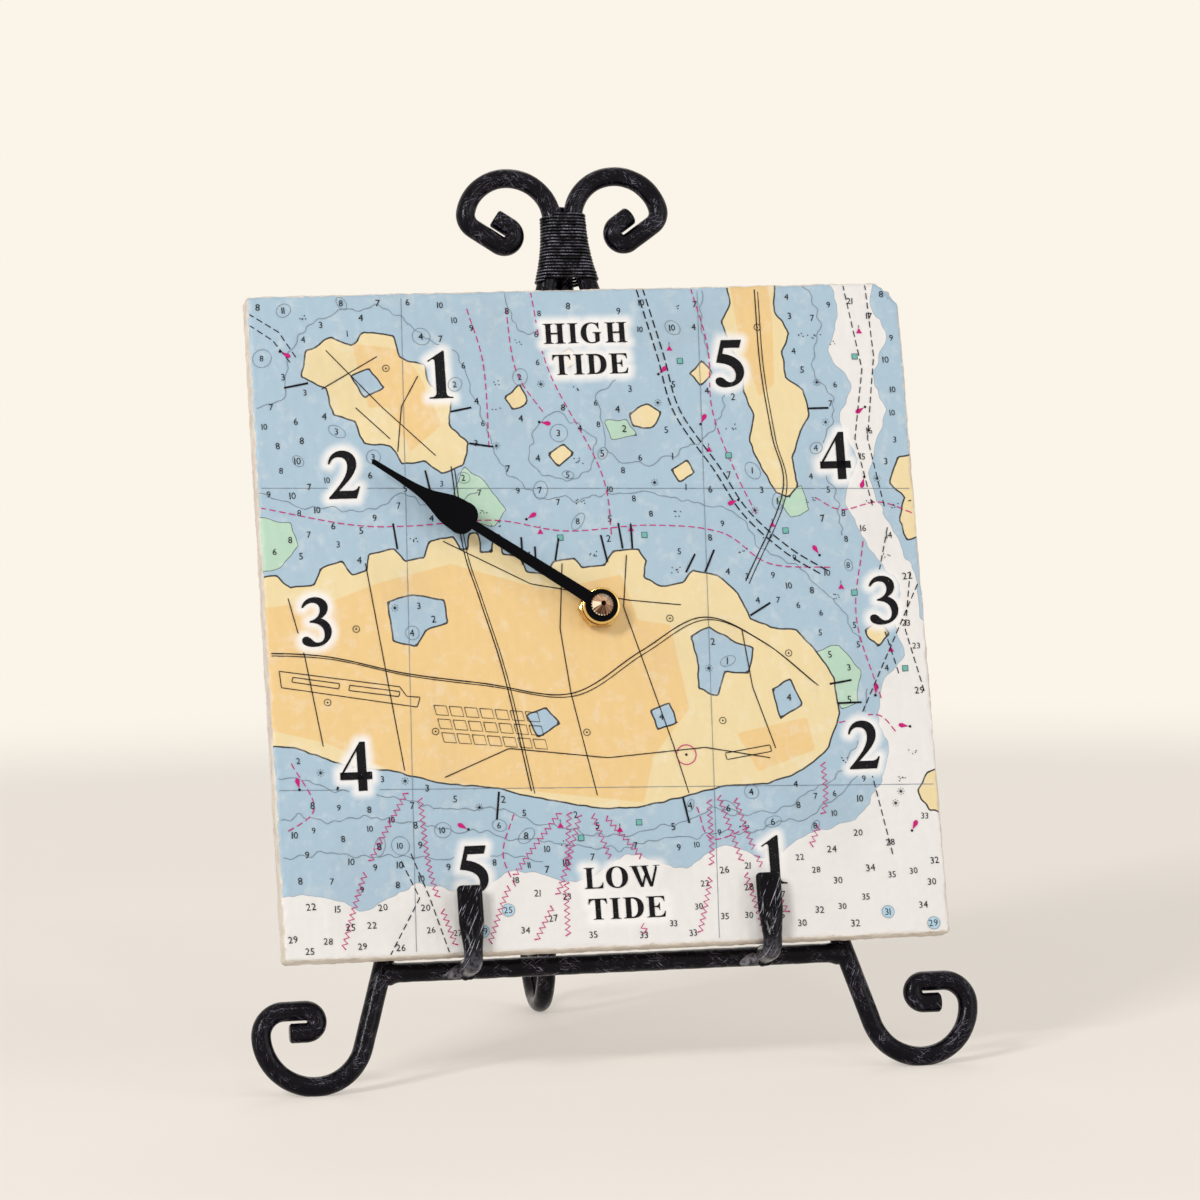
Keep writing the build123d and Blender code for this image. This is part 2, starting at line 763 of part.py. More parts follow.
with BuildPart() as tide_wheel:
    toothed(tide_wheel_level, tide_wheel_thickness, centre_place, tide_teeth, tide_module, 0)
    arbor(-(inside + shoulder_front), tide_wheel_back, tide_arbor_radius, centre_place)
    with BuildSketch(dial.offset(shoulder_front)):
        Circle(arbor_tip_radius)
        Rectangle(2 * arbor_flat, 2 * arbor_tip_radius, mode=Mode.INTERSECT)
    extrude(amount=blade_front - shoulder_front)
    with BuildSketch(dial.offset(blade_front)):
        Circle(arbor_thread_radius)
    extrude(amount=arbor_thread_length)
    bore(socket_end, tide_wheel_back, centre_arbor_radius + running_gap, centre_place)
tide_wheel.part.label = "tide_wheel"
export_step(tide_wheel.part, "parts/tide_wheel.step")

# Hand: a spade blade on a slotted collet, held by a turned cap nut
hand_plane = Plane(
    origin=dial.origin + forward * blade_back,
    x_dir=sideways * cos(radians(hand_angle)) + upslope * sin(radians(hand_angle)),
    z_dir=forward,
)


def blade_point(shares):
    """A point of the blade's outline from its two shares."""
    return (shares[0] * hand_length, shares[1] * spade_half_width)


stem_root = blade_point(stem_start_shares)
blade_end = blade_point(hand_tip_shares)

with BuildPart() as tide_hand:
    with BuildSketch(hand_plane):
        with BuildLine():
            Line(stem_root, blade_point(stem_end_shares))
            ThreePointArc(
                blade_point(stem_end_shares),
                blade_point(spade_back_shares),
                blade_point(spade_middle_shares),
            )
            edge_points = [spade_middle_shares, *spade_edge_shares, hand_tip_shares]
            Spline(
                *[blade_point(shares) for shares in edge_points],
                tangents=[(1, 0), (1, -hand_tip_slope_share)],
            )
            mirror(about=Plane.XZ)
            ThreePointArc(blade_end, (hand_length, 0), (blade_end[0], -blade_end[1]))
            Line(stem_root, (stem_root[0], -stem_root[1]))
        make_face()
        Circle(hub_radius)
        Circle(collet_neck_radius + press_gap, mode=Mode.SUBTRACT)
    extrude(amount=hand_thickness)
tide_hand.part.label = "tide_hand"
export_step(tide_hand.part, "parts/tide_hand.step")

with BuildPart() as hand_collet:
    with BuildSketch(dial.offset(shoulder_front)):
        Circle(collet_radius)
    extrude(amount=collet_thickness)
    with BuildSketch(dial.offset(blade_back)):
        Circle(collet_neck_radius)
    extrude(amount=hand_thickness)
    with BuildSketch(dial.offset(shoulder_front)):
        Circle(arbor_tip_radius + press_gap)
        Rectangle(
            2 * (arbor_flat + press_gap),
            2 * (arbor_tip_radius + press_gap),
            mode=Mode.INTERSECT,
        )
    extrude(amount=collet_thickness + hand_thickness, mode=Mode.SUBTRACT)
hand_collet.part.label = "hand_collet"
export_step(hand_collet.part, "parts/hand_collet.step")

with BuildPart() as cap_nut:
    rim_front = blade_front + cap_rim_height
    cap_front = rim_front + cap_cone_height
    with BuildSketch(turning_plane):
        with BuildLine():
            Polyline(
                (arbor_thread_radius + thread_gap, blade_front),
                (cap_nut_radius, blade_front),
                (cap_nut_radius, rim_front),
                (cap_tip_radius, cap_front),
                (0, cap_front),
                (0, blade_front + cap_bore_depth),
                (arbor_thread_radius + thread_gap, blade_front + cap_bore_depth),
                close=True,
            )
        make_face()
    revolve(axis=Axis(dial.origin, forward))
    with BuildSketch(dial.offset(blade_front)):
        with PolarLocations(cap_nut_radius + cap_notch_radius - cap_notch_depth, cap_notches):
            Circle(cap_notch_radius)
    extrude(amount=cap_rim_height, mode=Mode.SUBTRACT)
cap_nut.part.label = "cap_nut"
export_step(cap_nut.part, "parts/cap_nut.step")

# Motion work: the minute wheel with its pinion and set knob, and the cannon
# pinion that drives it
knob_level = case_back - inside + knob_gap
minute_arbor_end = knob_level + knob_height - knob_gap

with BuildPart() as minute_wheel:
    toothed(
        minute_pinion_level,
        minute_pinion_thickness,
        minute_place,
        minute_pinion_teeth,
        tide_module,
        minute_pinion_phase,
    )
    toothed(
        minute_wheel_level, minute_wheel_thickness, minute_place, minute_teeth, minute_module, 0
    )
    arbor(minute_pinion_level, minute_arbor_end, minute_arbor_radius, minute_place)
    arbor(running_gap - pivot_length, minute_pinion_level, minute_pivot_radius, minute_place)
minute_wheel.part.label = "minute_wheel"
export_step(minute_wheel.part, "parts/minute_wheel.step")

with BuildPart() as set_knob:
    with BuildSketch(behind(inside + knob_level)):
        with Locations(minute_place):
            Circle(knob_radius)
            with PolarLocations(knob_radius, knob_notches):
                Circle(knob_notch_radius, mode=Mode.SUBTRACT)
    extrude(amount=-knob_height)
    bore(knob_level, minute_arbor_end, minute_arbor_radius + press_gap, minute_place)
set_knob.part.label = "set_knob"
export_step(set_knob.part, "parts/set_knob.step")

with BuildPart() as cannon_pinion:
    toothed(
        cannon_level, cannon_thickness, centre_place, cannon_teeth, minute_module, cannon_phase
    )
    bore(
        cannon_level,
        cannon_level + cannon_thickness,
        centre_arbor_radius + running_gap,
        centre_place,
    )
cannon_pinion.part.label = "cannon_pinion"
export_step(cannon_pinion.part, "parts/cannon_pinion.step")

# Going train, from the slowest wheel to the motor's rotor

with BuildPart() as centre_wheel:
    toothed(
        centre_wheel_level,
        train_wheel_thickness,
        centre_place,
        centre_teeth,
        centre_module,
        centre_phase,
    )
    arbor(
        socket_end + running_gap,
        rear_pivot_level + pivot_length,
        centre_arbor_radius,
        centre_place,
    )
centre_wheel.part.label = "centre_wheel"
export_step(centre_wheel.part, "parts/centre_wheel.step")

with BuildPart() as third_wheel:
    toothed(
        third_pinion_level, train_pinion_thickness, third_place, pinion_teeth, centre_module, 0
    )
    toothed(
        third_wheel_level,
        train_wheel_thickness,
        third_place,
        third_teeth,
        third_module,
        third_phase,
    )
    pivoted_arbor(third_place)
third_wheel.part.label = "third_wheel"
export_step(third_wheel.part, "parts/third_wheel.step")

with BuildPart() as seconds_wheel:
    toothed(
        seconds_pinion_level, train_pinion_thickness, seconds_place, pinion_teeth, third_module, 0
    )
    toothed(
        seconds_wheel_level,
        train_wheel_thickness,
        seconds_place,
        seconds_teeth,
        seconds_module,
        seconds_phase,
    )
    pivoted_arbor(seconds_place)
seconds_wheel.part.label = "seconds_wheel"
export_step(seconds_wheel.part, "parts/seconds_wheel.step")

with BuildPart() as intermediate_wheel:
    toothed(
        step_pinion_level, train_pinion_thickness, step_place, pinion_teeth, seconds_module, 0
    )
    toothed(
        step_wheel_level, train_wheel_thickness, step_place, step_teeth, step_module, step_phase
    )
    pivoted_arbor(step_place)
intermediate_wheel.part.label = "intermediate_wheel"
export_step(intermediate_wheel.part, "parts/intermediate_wheel.step")

with BuildPart() as rotor:
    toothed(rotor_pinion_level, train_pinion_thickness, rotor_place, pinion_teeth, step_module, 0)
    arbor(magnet_level, magnet_level + magnet_thickness, magnet_radius, rotor_place)
    pivoted_arbor(rotor_place)
rotor.part.label = "rotor"
export_step(rotor.part, "parts/rotor.step")

# Motor: a flat stator round the magnet, and a coil on a core that closes it
coil_y = rotor_above + coil_above_rotor
core_top = coil_y + core_width / 2
stator_foot = rotor_above - stator_bar_width / 2
stator_half_width = pocket_half - stator_edge_gap - rotor_aside
coil_length = 2 * (stator_half_width - stator_arm_width - coil_end_gap)
arm_x = stator_half_width - stator_arm_width / 2
arm_places = [(-rotor_aside - arm_x, rotor_above), (arm_x - rotor_aside, rotor_above)]

with BuildPart() as stator:
    with BuildSketch(behind(inside + stator_level)):
        with Locations(rotor_place):
            Rectangle(2 * stator_half_width, stator_bar_width)
            Circle(magnet_radius + stator_gap + stator_ring)
        with Locations(
            (-rotor_aside - arm_x, (stator_foot + core_top) / 2),
            (arm_x - rotor_aside, (stator_foot + core_top) / 2),
        ):
            Rectangle(stator_arm_width, core_top - stator_foot)
        with Locations(rotor_place):
            Circle(magnet_radius + stator_gap, mode=Mode.SUBTRACT)
    extrude(amount=-stator_thickness)
stator.part.label = "stator"
export_step(stator.part, "parts/stator.step")

core_level = stator_level + stator_thickness

with BuildPart() as coil_core:
    with BuildSketch(behind(inside + core_level)):
        with Locations((-rotor_aside, coil_y)):
            Rectangle(2 * stator_half_width, core_width)
    extrude(amount=-stator_thickness)
coil_core.part.label = "coil_core"
export_step(coil_core.part, "parts/coil_core.step")

coil_plane = behind(inside + core_level + stator_thickness / 2)
coil_start = coil_plane.from_local_coords(Vector(-rotor_aside - coil_length / 2, coil_y))

with BuildPart() as motor_coil:
    with BuildSketch(Plane(origin=coil_start, x_dir=upslope, z_dir=sideways)):
        Circle(coil_radius)
        Rectangle(
            core_width + 2 * press_gap, stator_thickness + 2 * press_gap, mode=Mode.SUBTRACT
        )
    extrude(amount=coil_length)
motor_coil.part.label = "motor_coil"
export_step(motor_coil.part, "parts/motor_coil.step")

# Middle plate: it holds the front pivots and has two pads under the stator
plate_bottom = pocket_bottom + cover_clearance
plate_back = plate_level + plate_thickness

with BuildPart() as middle_plate:
    with BuildSketch(behind(inside + plate_level)):
        with Locations((0, (plate_bottom + stator_top) / 2)):
            Rectangle(2 * (pocket_half - cover_clearance), stator_top - plate_bottom)
        Circle(centre_arbor_radius + running_gap, mode=Mode.SUBTRACT)
        with Locations(minute_place):
            Circle(minute_arbor_radius + running_gap, mode=Mode.SUBTRACT)
        with Locations(*pivot_places):
            Circle(pivot_radius + running_gap, mode=Mode.SUBTRACT)
    extrude(amount=-plate_thickness)
    with BuildSketch(behind(inside + plate_back)):
        with Locations(*arm_places):
            Circle(stator_pad_radius)
    extrude(amount=plate_back - stator_level)
middle_plate.part.label = "middle_plate"
export_step(middle_plate.part, "parts/middle_plate.step")

# Circuit board with a chip, and the quartz crystal that lies on it
pinion_tip_radius = (pinion_teeth / 2 + addendum_share) * centre_module
board_left = third_place[0] + pinion_tip_radius + board_arbor_gap
board_width = pocket_half - board_edge_gap - board_left
board_x = board_left + board_width / 2
board_bottom = plate_bottom + board_edge_gap
board_back = plate_back + board_thickness

with BuildPart() as circuit_board:
    with BuildSketch(behind(inside + plate_back)):
        with Locations((board_x, board_bottom + board_height / 2)):
            Rectangle(board_width, board_height)
    extrude(amount=-board_thickness)
    with BuildSketch(behind(inside + board_back)):
        with Locations((board_x, board_bottom + chip_side)):
            Rectangle(chip_side, chip_side)
    extrude(amount=-chip_height)
circuit_board.part.label = "circuit_board"
export_step(circuit_board.part, "parts/circuit_board.step")

crystal_y = board_bottom + board_height - crystal_edge_gap - crystal_radius
crystal_plane = behind(inside + board_back + crystal_radius)
crystal_start = crystal_plane.from_local_coords(Vector(board_x - crystal_length / 2, crystal_y))

with BuildPart() as quartz_crystal:
    with BuildSketch(Plane(origin=crystal_start, x_dir=upslope, z_dir=sideways)):
        Circle(crystal_radius)
    extrude(amount=crystal_length)
quartz_crystal.part.label = "quartz_crystal"
export_step(quartz_crystal.part, "parts/quartz_crystal.step")

# Battery between a bowed spring leaf and a flat contact
battery_depth = inside + battery_clearance + battery_radius
battery_x = -inner_half + contact_bow + running_gap
nub_x = inner_half - flat_contact_thickness - running_gap
battery_length = nub_x - battery_nub_height - battery_x
battery_start = behind(battery_depth).from_local_coords(Vector(battery_x, bay_middle))
contact_plane = behind(battery_depth - contact_width / 2)

with BuildPart() as battery:
    with BuildSketch(Plane(origin=battery_start, x_dir=upslope, z_dir=sideways)):
        Circle(battery_radius)
    extrude(amount=battery_length)
    fillet(battery.edges().filter_by(GeomType.CIRCLE), battery_edge_radius)
    battery_end = battery_start + sideways * battery_length
    with BuildSketch(Plane(origin=battery_end, x_dir=upslope, z_dir=sideways)):
        Circle(battery_nub_radius)
    extrude(amount=battery_nub_height)
battery.part.label = "battery"
export_step(battery.part, "parts/battery.step")

with BuildPart() as positive_contact:
    with BuildSketch(contact_plane):
        with Locations((inner_half - flat_contact_thickness / 2, bay_middle)):
            Rectangle(flat_contact_thickness, contact_width)
    extrude(amount=-contact_width)
positive_contact.part.label = "positive_contact"
export_step(positive_contact.part, "parts/positive_contact.step")

with BuildPart() as negative_contact:
    with BuildSketch(contact_plane):
        with BuildLine():
            ThreePointArc(
                (-inner_half, bay_middle - contact_width),
                (contact_bow - inner_half, bay_middle),
                (-inner_half, bay_middle + contact_width),
            )
            Line(
                (-inner_half, bay_middle + contact_width),
                (-inner_half, bay_middle + contact_width - 2 * contact_thickness),
            )
            ThreePointArc(
                (-inner_half, bay_middle + contact_width - 2 * contact_thickness),
                (contact_bow - contact_thickness - inner_half, bay_middle),
                (-inner_half, bay_middle - contact_width + 2 * contact_thickness),
            )
            Line(
                (-inner_half, bay_middle - contact_width + 2 * contact_thickness),
                (-inner_half, bay_middle - contact_width),
            )
        make_face()
    extrude(amount=-contact_width)
negative_contact.part.label = "negative_contact"
export_step(negative_contact.part, "parts/negative_contact.step")
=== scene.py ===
"""Looks of the tide clock: printed stone dial, forged easel, brass and the movement behind.

Places in tables and paths are millimetres from the middle of the dial, "across,up" its slope.
"""

import functools
import math
import random

import bpy
import numpy as np
from mathutils import Matrix, Vector
from mathutils.geometry import tessellate_polygon


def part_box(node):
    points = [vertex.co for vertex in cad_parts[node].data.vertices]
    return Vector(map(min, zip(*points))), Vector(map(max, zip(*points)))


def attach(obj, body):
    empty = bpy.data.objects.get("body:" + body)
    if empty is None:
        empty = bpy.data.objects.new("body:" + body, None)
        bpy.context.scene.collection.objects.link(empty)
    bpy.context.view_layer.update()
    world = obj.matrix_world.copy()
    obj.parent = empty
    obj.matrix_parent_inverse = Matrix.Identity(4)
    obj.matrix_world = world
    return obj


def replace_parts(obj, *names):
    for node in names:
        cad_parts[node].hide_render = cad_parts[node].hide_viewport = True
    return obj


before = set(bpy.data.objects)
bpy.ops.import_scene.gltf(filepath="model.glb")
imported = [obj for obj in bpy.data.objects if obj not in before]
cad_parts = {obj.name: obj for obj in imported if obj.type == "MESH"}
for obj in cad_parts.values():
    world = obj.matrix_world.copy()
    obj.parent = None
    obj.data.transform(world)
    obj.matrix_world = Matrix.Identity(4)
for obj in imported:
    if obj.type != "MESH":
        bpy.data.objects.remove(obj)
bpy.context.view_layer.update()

MM = 0.001
TURN = 2 * math.pi

# The dial's plane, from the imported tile
LEAN = math.radians(15.8)
SIDEWAYS = np.array([1.0, 0.0, 0.0])
UPSLOPE = np.array([0.0, math.sin(LEAN), math.cos(LEAN)])
FORWARD = np.array([0.0, -math.cos(LEAN), math.sin(LEAN)])
TILE_THICK = 9.2
HALF = 101.6
HUB = (0.0, 1.5)
tile_low, tile_high = (np.array(corner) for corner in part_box("stone_tile"))
FACE = (tile_low + tile_high) / 2 + FORWARD * TILE_THICK / 2 * MM

# The easel as the solids have it: U is across and W up the slope, in the front rods' plane
ROD = 3.0
ROD_BACK = TILE_THICK + ROD + 0.05
ROD_MIDDLE = 3.3
SCROLL_W = 126.5
KNEE_RADIUS = 67.0
SPLAY = 17.07
KNEE_W = SCROLL_W - KNEE_RADIUS * math.sin(math.radians(SPLAY))
BAR_W = -(HALF + 0.05 + 2.85)
FOOT_W = BAR_W - 32.8
FOOT_RADIUS = 15.5
FOOT_MOVES = [(7.3, 90.0), (6.3,), (3.3, 180.0), (5.0,)]
TOP_MOVES = [(13.6, -167), (5.0, -68), (9.2,), (3.3, -180), (5.5,)]
FOOT_FLAT = 0.3
HOOK_U = 45.5
REAR_OFFSET = 5.367
REAR_SPLAY = 14.0
REAR_TOP_W = SCROLL_W + 1.0 + 4.0
REAR_BEND_W = SCROLL_W + 1.0 - 20.6 - 2.0
REAR_BEND_RADIUS = 22.0
BINDING_TURNS = 21
BINDING_TOP = SCROLL_W + 1.2
BINDING_PITCH = 20.9 / BINDING_TURNS
WIRE = 0.47


def on_dial(places, height=0.0):
    """Row-frame points of (across, up) places, this far in front of the dial."""
    places = np.atleast_2d(np.asarray(places, float))
    height = np.broadcast_to(np.asarray(height, float), len(places))
    return FACE + (
        places[:, :1] * SIDEWAYS + places[:, 1:2] * UPSLOPE + height[:, None] * FORWARD
    ) * MM


def unit(vectors, least=0.0):
    return vectors / (np.linalg.norm(vectors, axis=-1, keepdims=True) + least)


def plane(angle):
    """The unit vector at an angle, in a plane."""
    return np.array([math.cos(angle), math.sin(angle)])


def circle(steps):
    """Cosines and sines of even steps round a circle."""
    angles = np.arange(steps) * TURN / steps
    return np.cos(angles), np.sin(angles)


def to_the_left(line, least=0.0):
    """Unit vectors across a line of places."""
    along = np.gradient(line, axis=0)
    return unit(np.stack([-along[:, 1], along[:, 0]], axis=1), least)


def lengths_along(points):
    """Length of the line up to each of its points."""
    return np.concatenate([[0], np.cumsum(np.linalg.norm(np.diff(points, axis=0), axis=1))])


def ring_faces(rings, sides, closed=False):
    """Quads between rings of points, and from the last ring to the first of a closed row."""
    return [
        (i * sides + j, i * sides + k, n * sides + k, n * sides + j)
        for i in range(rings if closed else rings - 1)
        for n in [(i + 1) % rings]
        for j in range(sides)
        for k in [(j + 1) % sides]
    ]


def end_caps(rings, sides):
    last = (rings - 1) * sides
    return [tuple(range(sides - 1, -1, -1)), tuple(range(last, last + sides))]


def placed(name, data):
    """A new object in the scene."""
    thing = bpy.data.objects.new(name, data)
    bpy.context.scene.collection.objects.link(thing)
    return thing


def piece(name, points, faces, body, material, smooth=True):
    """A mesh piece from row-frame points, riding on a body."""
    mesh = bpy.data.meshes.new(name)
    mesh.from_pydata([tuple(point) for point in np.asarray(points, float)], [], faces)
    mesh.validate()
    mesh.polygons.foreach_set("use_smooth", [smooth] * len(mesh.polygons))
    mesh.materials.append(material)
    thing = placed(name, mesh)
    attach(thing, body)
    return thing


# Materials

def srgb(*triple):
    """Linear colour of an sRGB triple from 0 to 255."""
    shares = [value / 255 for value in triple]
    return (*(v / 12.92 if v <= 0.04045 else ((v + 0.055) / 1.055) ** 2.4 for v in shares), 1.0)


def darker(colour, share):
    return tuple(value * share for value in colour)


class Nodes:
    """Short calls that add shader nodes to a tree. Colours are sRGB triples or sockets."""

    def __init__(self, tree):
        self.tree = tree

    def put(self, socket, value):
        if isinstance(value, bpy.types.NodeSocket):
            self.tree.links.new(value, socket)
        elif socket.type == "RGBA" and len(value) == 3:
            socket.default_value = srgb(*value)
        else:
            socket.default_value = value

    def node(self, kind, sockets=(), **settings):
        made = self.tree.nodes.new("ShaderNode" + kind)
        for key, value in settings.items():
            setattr(made, key, value)
        for key, value in dict(sockets).items():
            self.put(made.inputs[key], value)
        return made

    def coords(self, kind="Object"):
        return self.node("TexCoord").outputs[kind]

    def noise(self, scale, detail=3.0, rough=0.55, vector=None, distortion=0.0):
        return self.node("TexNoise", {
            "Vector": vector or self.coords(), "Scale": scale, "Detail": detail, "Roughness": rough,
            "Distortion": distortion,
        }).outputs["Fac"]

    def math(self, operation, *values):
        return self.node("Math", enumerate(values), operation=operation).outputs[0]

    def times(self, *values):
        return functools.reduce(functools.partial(self.math, "MULTIPLY"), values)

    def most(self, *values):
        return functools.reduce(functools.partial(self.math, "MAXIMUM"), values)

    def line(self, value, gain, offset):
        return self.math("MULTIPLY_ADD", value, gain, offset)

    def fade(self, value, low, high):
        """0 below low and 1 above high; low may be the greater."""
        flip = low > high
        return self.node("MapRange", {
            "Value": value, "From Min": min(low, high), "From Max": max(low, high),
            "To Min": float(flip), "To Max": float(not flip),
        }, interpolation_type="SMOOTHSTEP").outputs["Result"]

    def near_zero(self, value, far, near):
        """1 where a distance is under near on either side, and 0 beyond far."""
        return self.fade(self.math("ABSOLUTE", value), far, near)

    def mix(self, factor, first, second):
        return self.node("Mix", {"Factor": factor, 6: first, 7: second}, data_type="RGBA").outputs[2]

    def attribute(self, name):
        return self.node("Attribute", attribute_name=name).outputs["Fac"]

    def part(self, vector, axis):
        return self.node("SeparateXYZ", {0: vector}).outputs[axis]


class Look(Nodes):
    """A node material round one Principled shader."""

    def __init__(self, name, **values):
        self.material = bpy.data.materials.new(name)
        self.material.use_nodes = True
        super().__init__(self.material.node_tree)
        self.shader = self.tree.nodes["Principled BSDF"]
        for key, value in values.items():
            self.shader.inputs[key.replace("_", " ")].default_value = value

    def surface(self, paint, rough=None, bump=None):
        """The material with this colour, roughness and bump (height, strength, distance)."""
        self.put(self.shader.inputs["Base Color"], paint)
        if rough:
            self.put(self.shader.inputs["Roughness"], rough)
        if bump:
            height, strength, distance = bump
            raised = self.node("Bump", {"Height": height, "Strength": strength, "Distance": distance})
            self.put(self.shader.inputs["Normal"], raised.outputs[0])
        return self.material


def scratches(look, vector, scale, turn, low, high):
    """Fine parallel lines, long one way and narrow the other."""
    mapping = look.node("Mapping", {
        "Vector": vector, "Rotation": turn, "Scale": [1 / value for value in scale],
    }, vector_type="TEXTURE")
    return look.fade(look.noise(1.0, 3, 0.65, mapping.outputs[0], 0.15), low, high)


def forged_iron():
    """Black enamel on hammered rod, brushed with silver along its length."""
    look = Look("forged_iron", Specular_IOR_Level=0.11)
    uv = look.coords("UV")
    broad = look.noise(150, 3, 0.6)
    patch = look.noise(520, 3, 0.65)
    lines = look.most(
        scratches(look, uv, (150, 3600, 1), (0, 0, 0.1), 0.61, 0.68),
        scratches(look, uv, (170, 3400, 1), (0, 0, 0.75), 0.60, 0.66),
        scratches(look, uv, (170, 3400, 1), (0, 0, -0.6), 0.62, 0.68),
    )
    brightening = look.times(lines, look.fade(broad, 0.43, 0.60))
    specks = look.times(look.fade(look.noise(3000, 2, 0.6), 0.63, 0.72), look.fade(patch, 0.50, 0.68))
    silver = look.most(brightening, look.times(specks, 0.6))
    base = look.mix(broad, (3, 2, 6), (13, 10, 19))
    dents = look.math("ADD", look.noise(430, 3, 0.6), look.times(silver, 0.2))
    return look.surface(
        look.mix(silver, base, (134, 130, 148)), look.line(patch, 0.22, 0.05), (dents, 0.3, 0.0005)
    )


def hook_iron():
    """The same enamel on the flattened hooks, cross-hatched by a wire brush, with a painted reflection of
    the floor on their lower bends.
    """
    look = Look("hook_iron", Specular_IOR_Level=0.1)
    upright = look.node("Mapping", {"Vector": look.coords(), "Rotation": (LEAN, 0, 0)}).outputs[0]
    broad = look.noise(240, 3, 0.6)
    lines = look.times(
        look.most(
            scratches(look, upright, (2800, 1, 90), (0, 0.45, 0), 0.605, 0.655),
            scratches(look, upright, (3000, 1, 110), (0, 0.08, 0), 0.65, 0.69),
        ),
        look.fade(broad, 0.34, 0.54),
    )
    # painted reflection: the lowest part of each hook's bend is painted a paler grey (96,95,104) in
    # patches, for the floor's light reflected there
    low = look.fade(look.part(upright, 2), 0.0200, 0.0140)
    ragged = look.times(low, look.fade(look.noise(900, 3, 0.6), 0.30, 0.62))
    base = look.mix(look.times(ragged, 0.75), look.mix(broad, (3, 2, 6), (11, 9, 15)), (96, 95, 104))
    return look.surface(
        look.mix(lines, base, (176, 176, 188)),
        look.line(broad, 0.2, 0.06),
        (look.noise(500, 3, 0.6), 0.3, 0.0004),
    )


def brazed_iron():
    """Pale grey brazing, smeared where the hooks meet the bar."""
    look = Look("brazed_iron", Roughness=0.45, Specular_IOR_Level=0.2)
    smooth = look.noise(420, 4, 0.65)
    fine = look.noise(2600, 3, 0.6)
    paint = look.mix(look.fade(smooth, 0.36, 0.62), (26, 25, 30), (128, 125, 132))
    return look.surface(
        look.mix(look.fade(fine, 0.55, 0.75), paint, (60, 56, 60)), bump=(smooth, 0.4, 0.0004)
    )


def binding_iron():
    """Dark enamelled wire with bright patches along the upper crest of each turn: partly wear of the
    enamel, partly a painted highlight where light from above would glint.
    """
    look = Look("binding_iron", Specular_IOR_Level=0.2)
    broad = look.noise(360, 3, 0.65)
    fine = look.noise(2400, 2, 0.5)
    # painted highlight: a bright band (132,128,146) on the upper side of each wire, where the lamps' glint
    # would fall, broken into patches by noise
    off_crest = look.math("SUBTRACT", look.part(look.coords("UV"), 1), 0.0038)
    crest = look.near_zero(off_crest, 0.0021, 0.0007)
    brightening = look.times(crest, look.fade(broad, 0.40, 0.66), look.fade(fine, 0.30, 0.62))
    return look.surface(
        look.mix(brightening, (4, 4, 7), (132, 128, 146)), look.line(broad, 0.2, 0.03), (fine, 0.2, 0.0001)
    )


def brass(painted_facets=False):
    """Polished turned brass with faint tarnish; for the cap nut instead, painted light and shade, each cut
    face painted from dark shade to a bright highlight.
    """
    look = Look("cap_brass_painted_light" if painted_facets else "turned_brass", Metallic=1.0)
    tarnish = look.noise(420, 4, 0.6)
    if painted_facets:
        # painted light and shade on the cap nut: shaded faces dark brown (66,42,30), lit ones pale
        # (206,164,132), the brightest a painted highlight (255,240,214)
        tone = look.attribute("painted_facet_light")
        paint = look.mix(look.fade(tone, 0.10, 0.70), (66, 42, 30), (206, 164, 132))
        paint = look.mix(look.fade(tone, 0.72, 0.95), paint, (255, 240, 214))
    else:
        tint = (224, 186, 112)
        paint = look.mix(look.fade(tarnish, 0.45, 0.75), tint, darker(tint, 0.78))
    grain = look.noise(5200, 2, 0.5)
    return look.surface(paint, look.line(tarnish, 0.16, 0.10), (grain, 0.05, 0.00002))


def moulded(name, colour, rough, grain=1500, bump=0.25, **more):
    """Moulded plastic, rubber or enamel with a fine grain."""
    look = Look(name, **more)
    fine = look.noise(grain, 3, 0.6)
    paint = look.mix(look.fade(look.noise(60, 3, 0.5), 0.3, 0.7), darker(colour, 0.8), colour)
    return look.surface(paint, look.line(fine, 0.16, rough - 0.08), (fine, bump, 0.00005))


def winding_copper():
    """Fine copper wire wound side by side."""
    look = Look("winding_copper", Metallic=0.85, Roughness=0.35)
    turns = look.node("TexWave", {
        "Vector": look.coords(), "Scale": 1600, "Distortion": 0.4,
    }, wave_type="BANDS", bands_direction="X").outputs["Fac"]
    return look.surface(look.mix(turns, (126, 58, 26), (208, 118, 66)), bump=(turns, 0.6, 0.00008))


def ink(name, colour, wear):
    """Ink on the stone, with pinholes where the stone's grain shows."""
    look = Look(name, Specular_IOR_Level=0.12)
    holes = look.fade(look.noise(3800, 2, 0.6), wear, wear + 0.05)
    return look.surface(look.mix(holes, colour, (214, 212, 208)), look.line(look.noise(900, 2), 0.2, 0.35))


WATER = (163, 187, 203)
DEEP = (226, 223, 220)
LAND = (228, 208, 159)
TOWN = (228, 194, 134)
MARSH = (176, 206, 184)
STONE = (226, 217, 203)
CONTOUR = (112, 124, 138)
LINE = (30, 28, 34)
HALO = (238, 235, 232)
COAST_HALF_WIDTH = 0.26
SHARP = 0.05


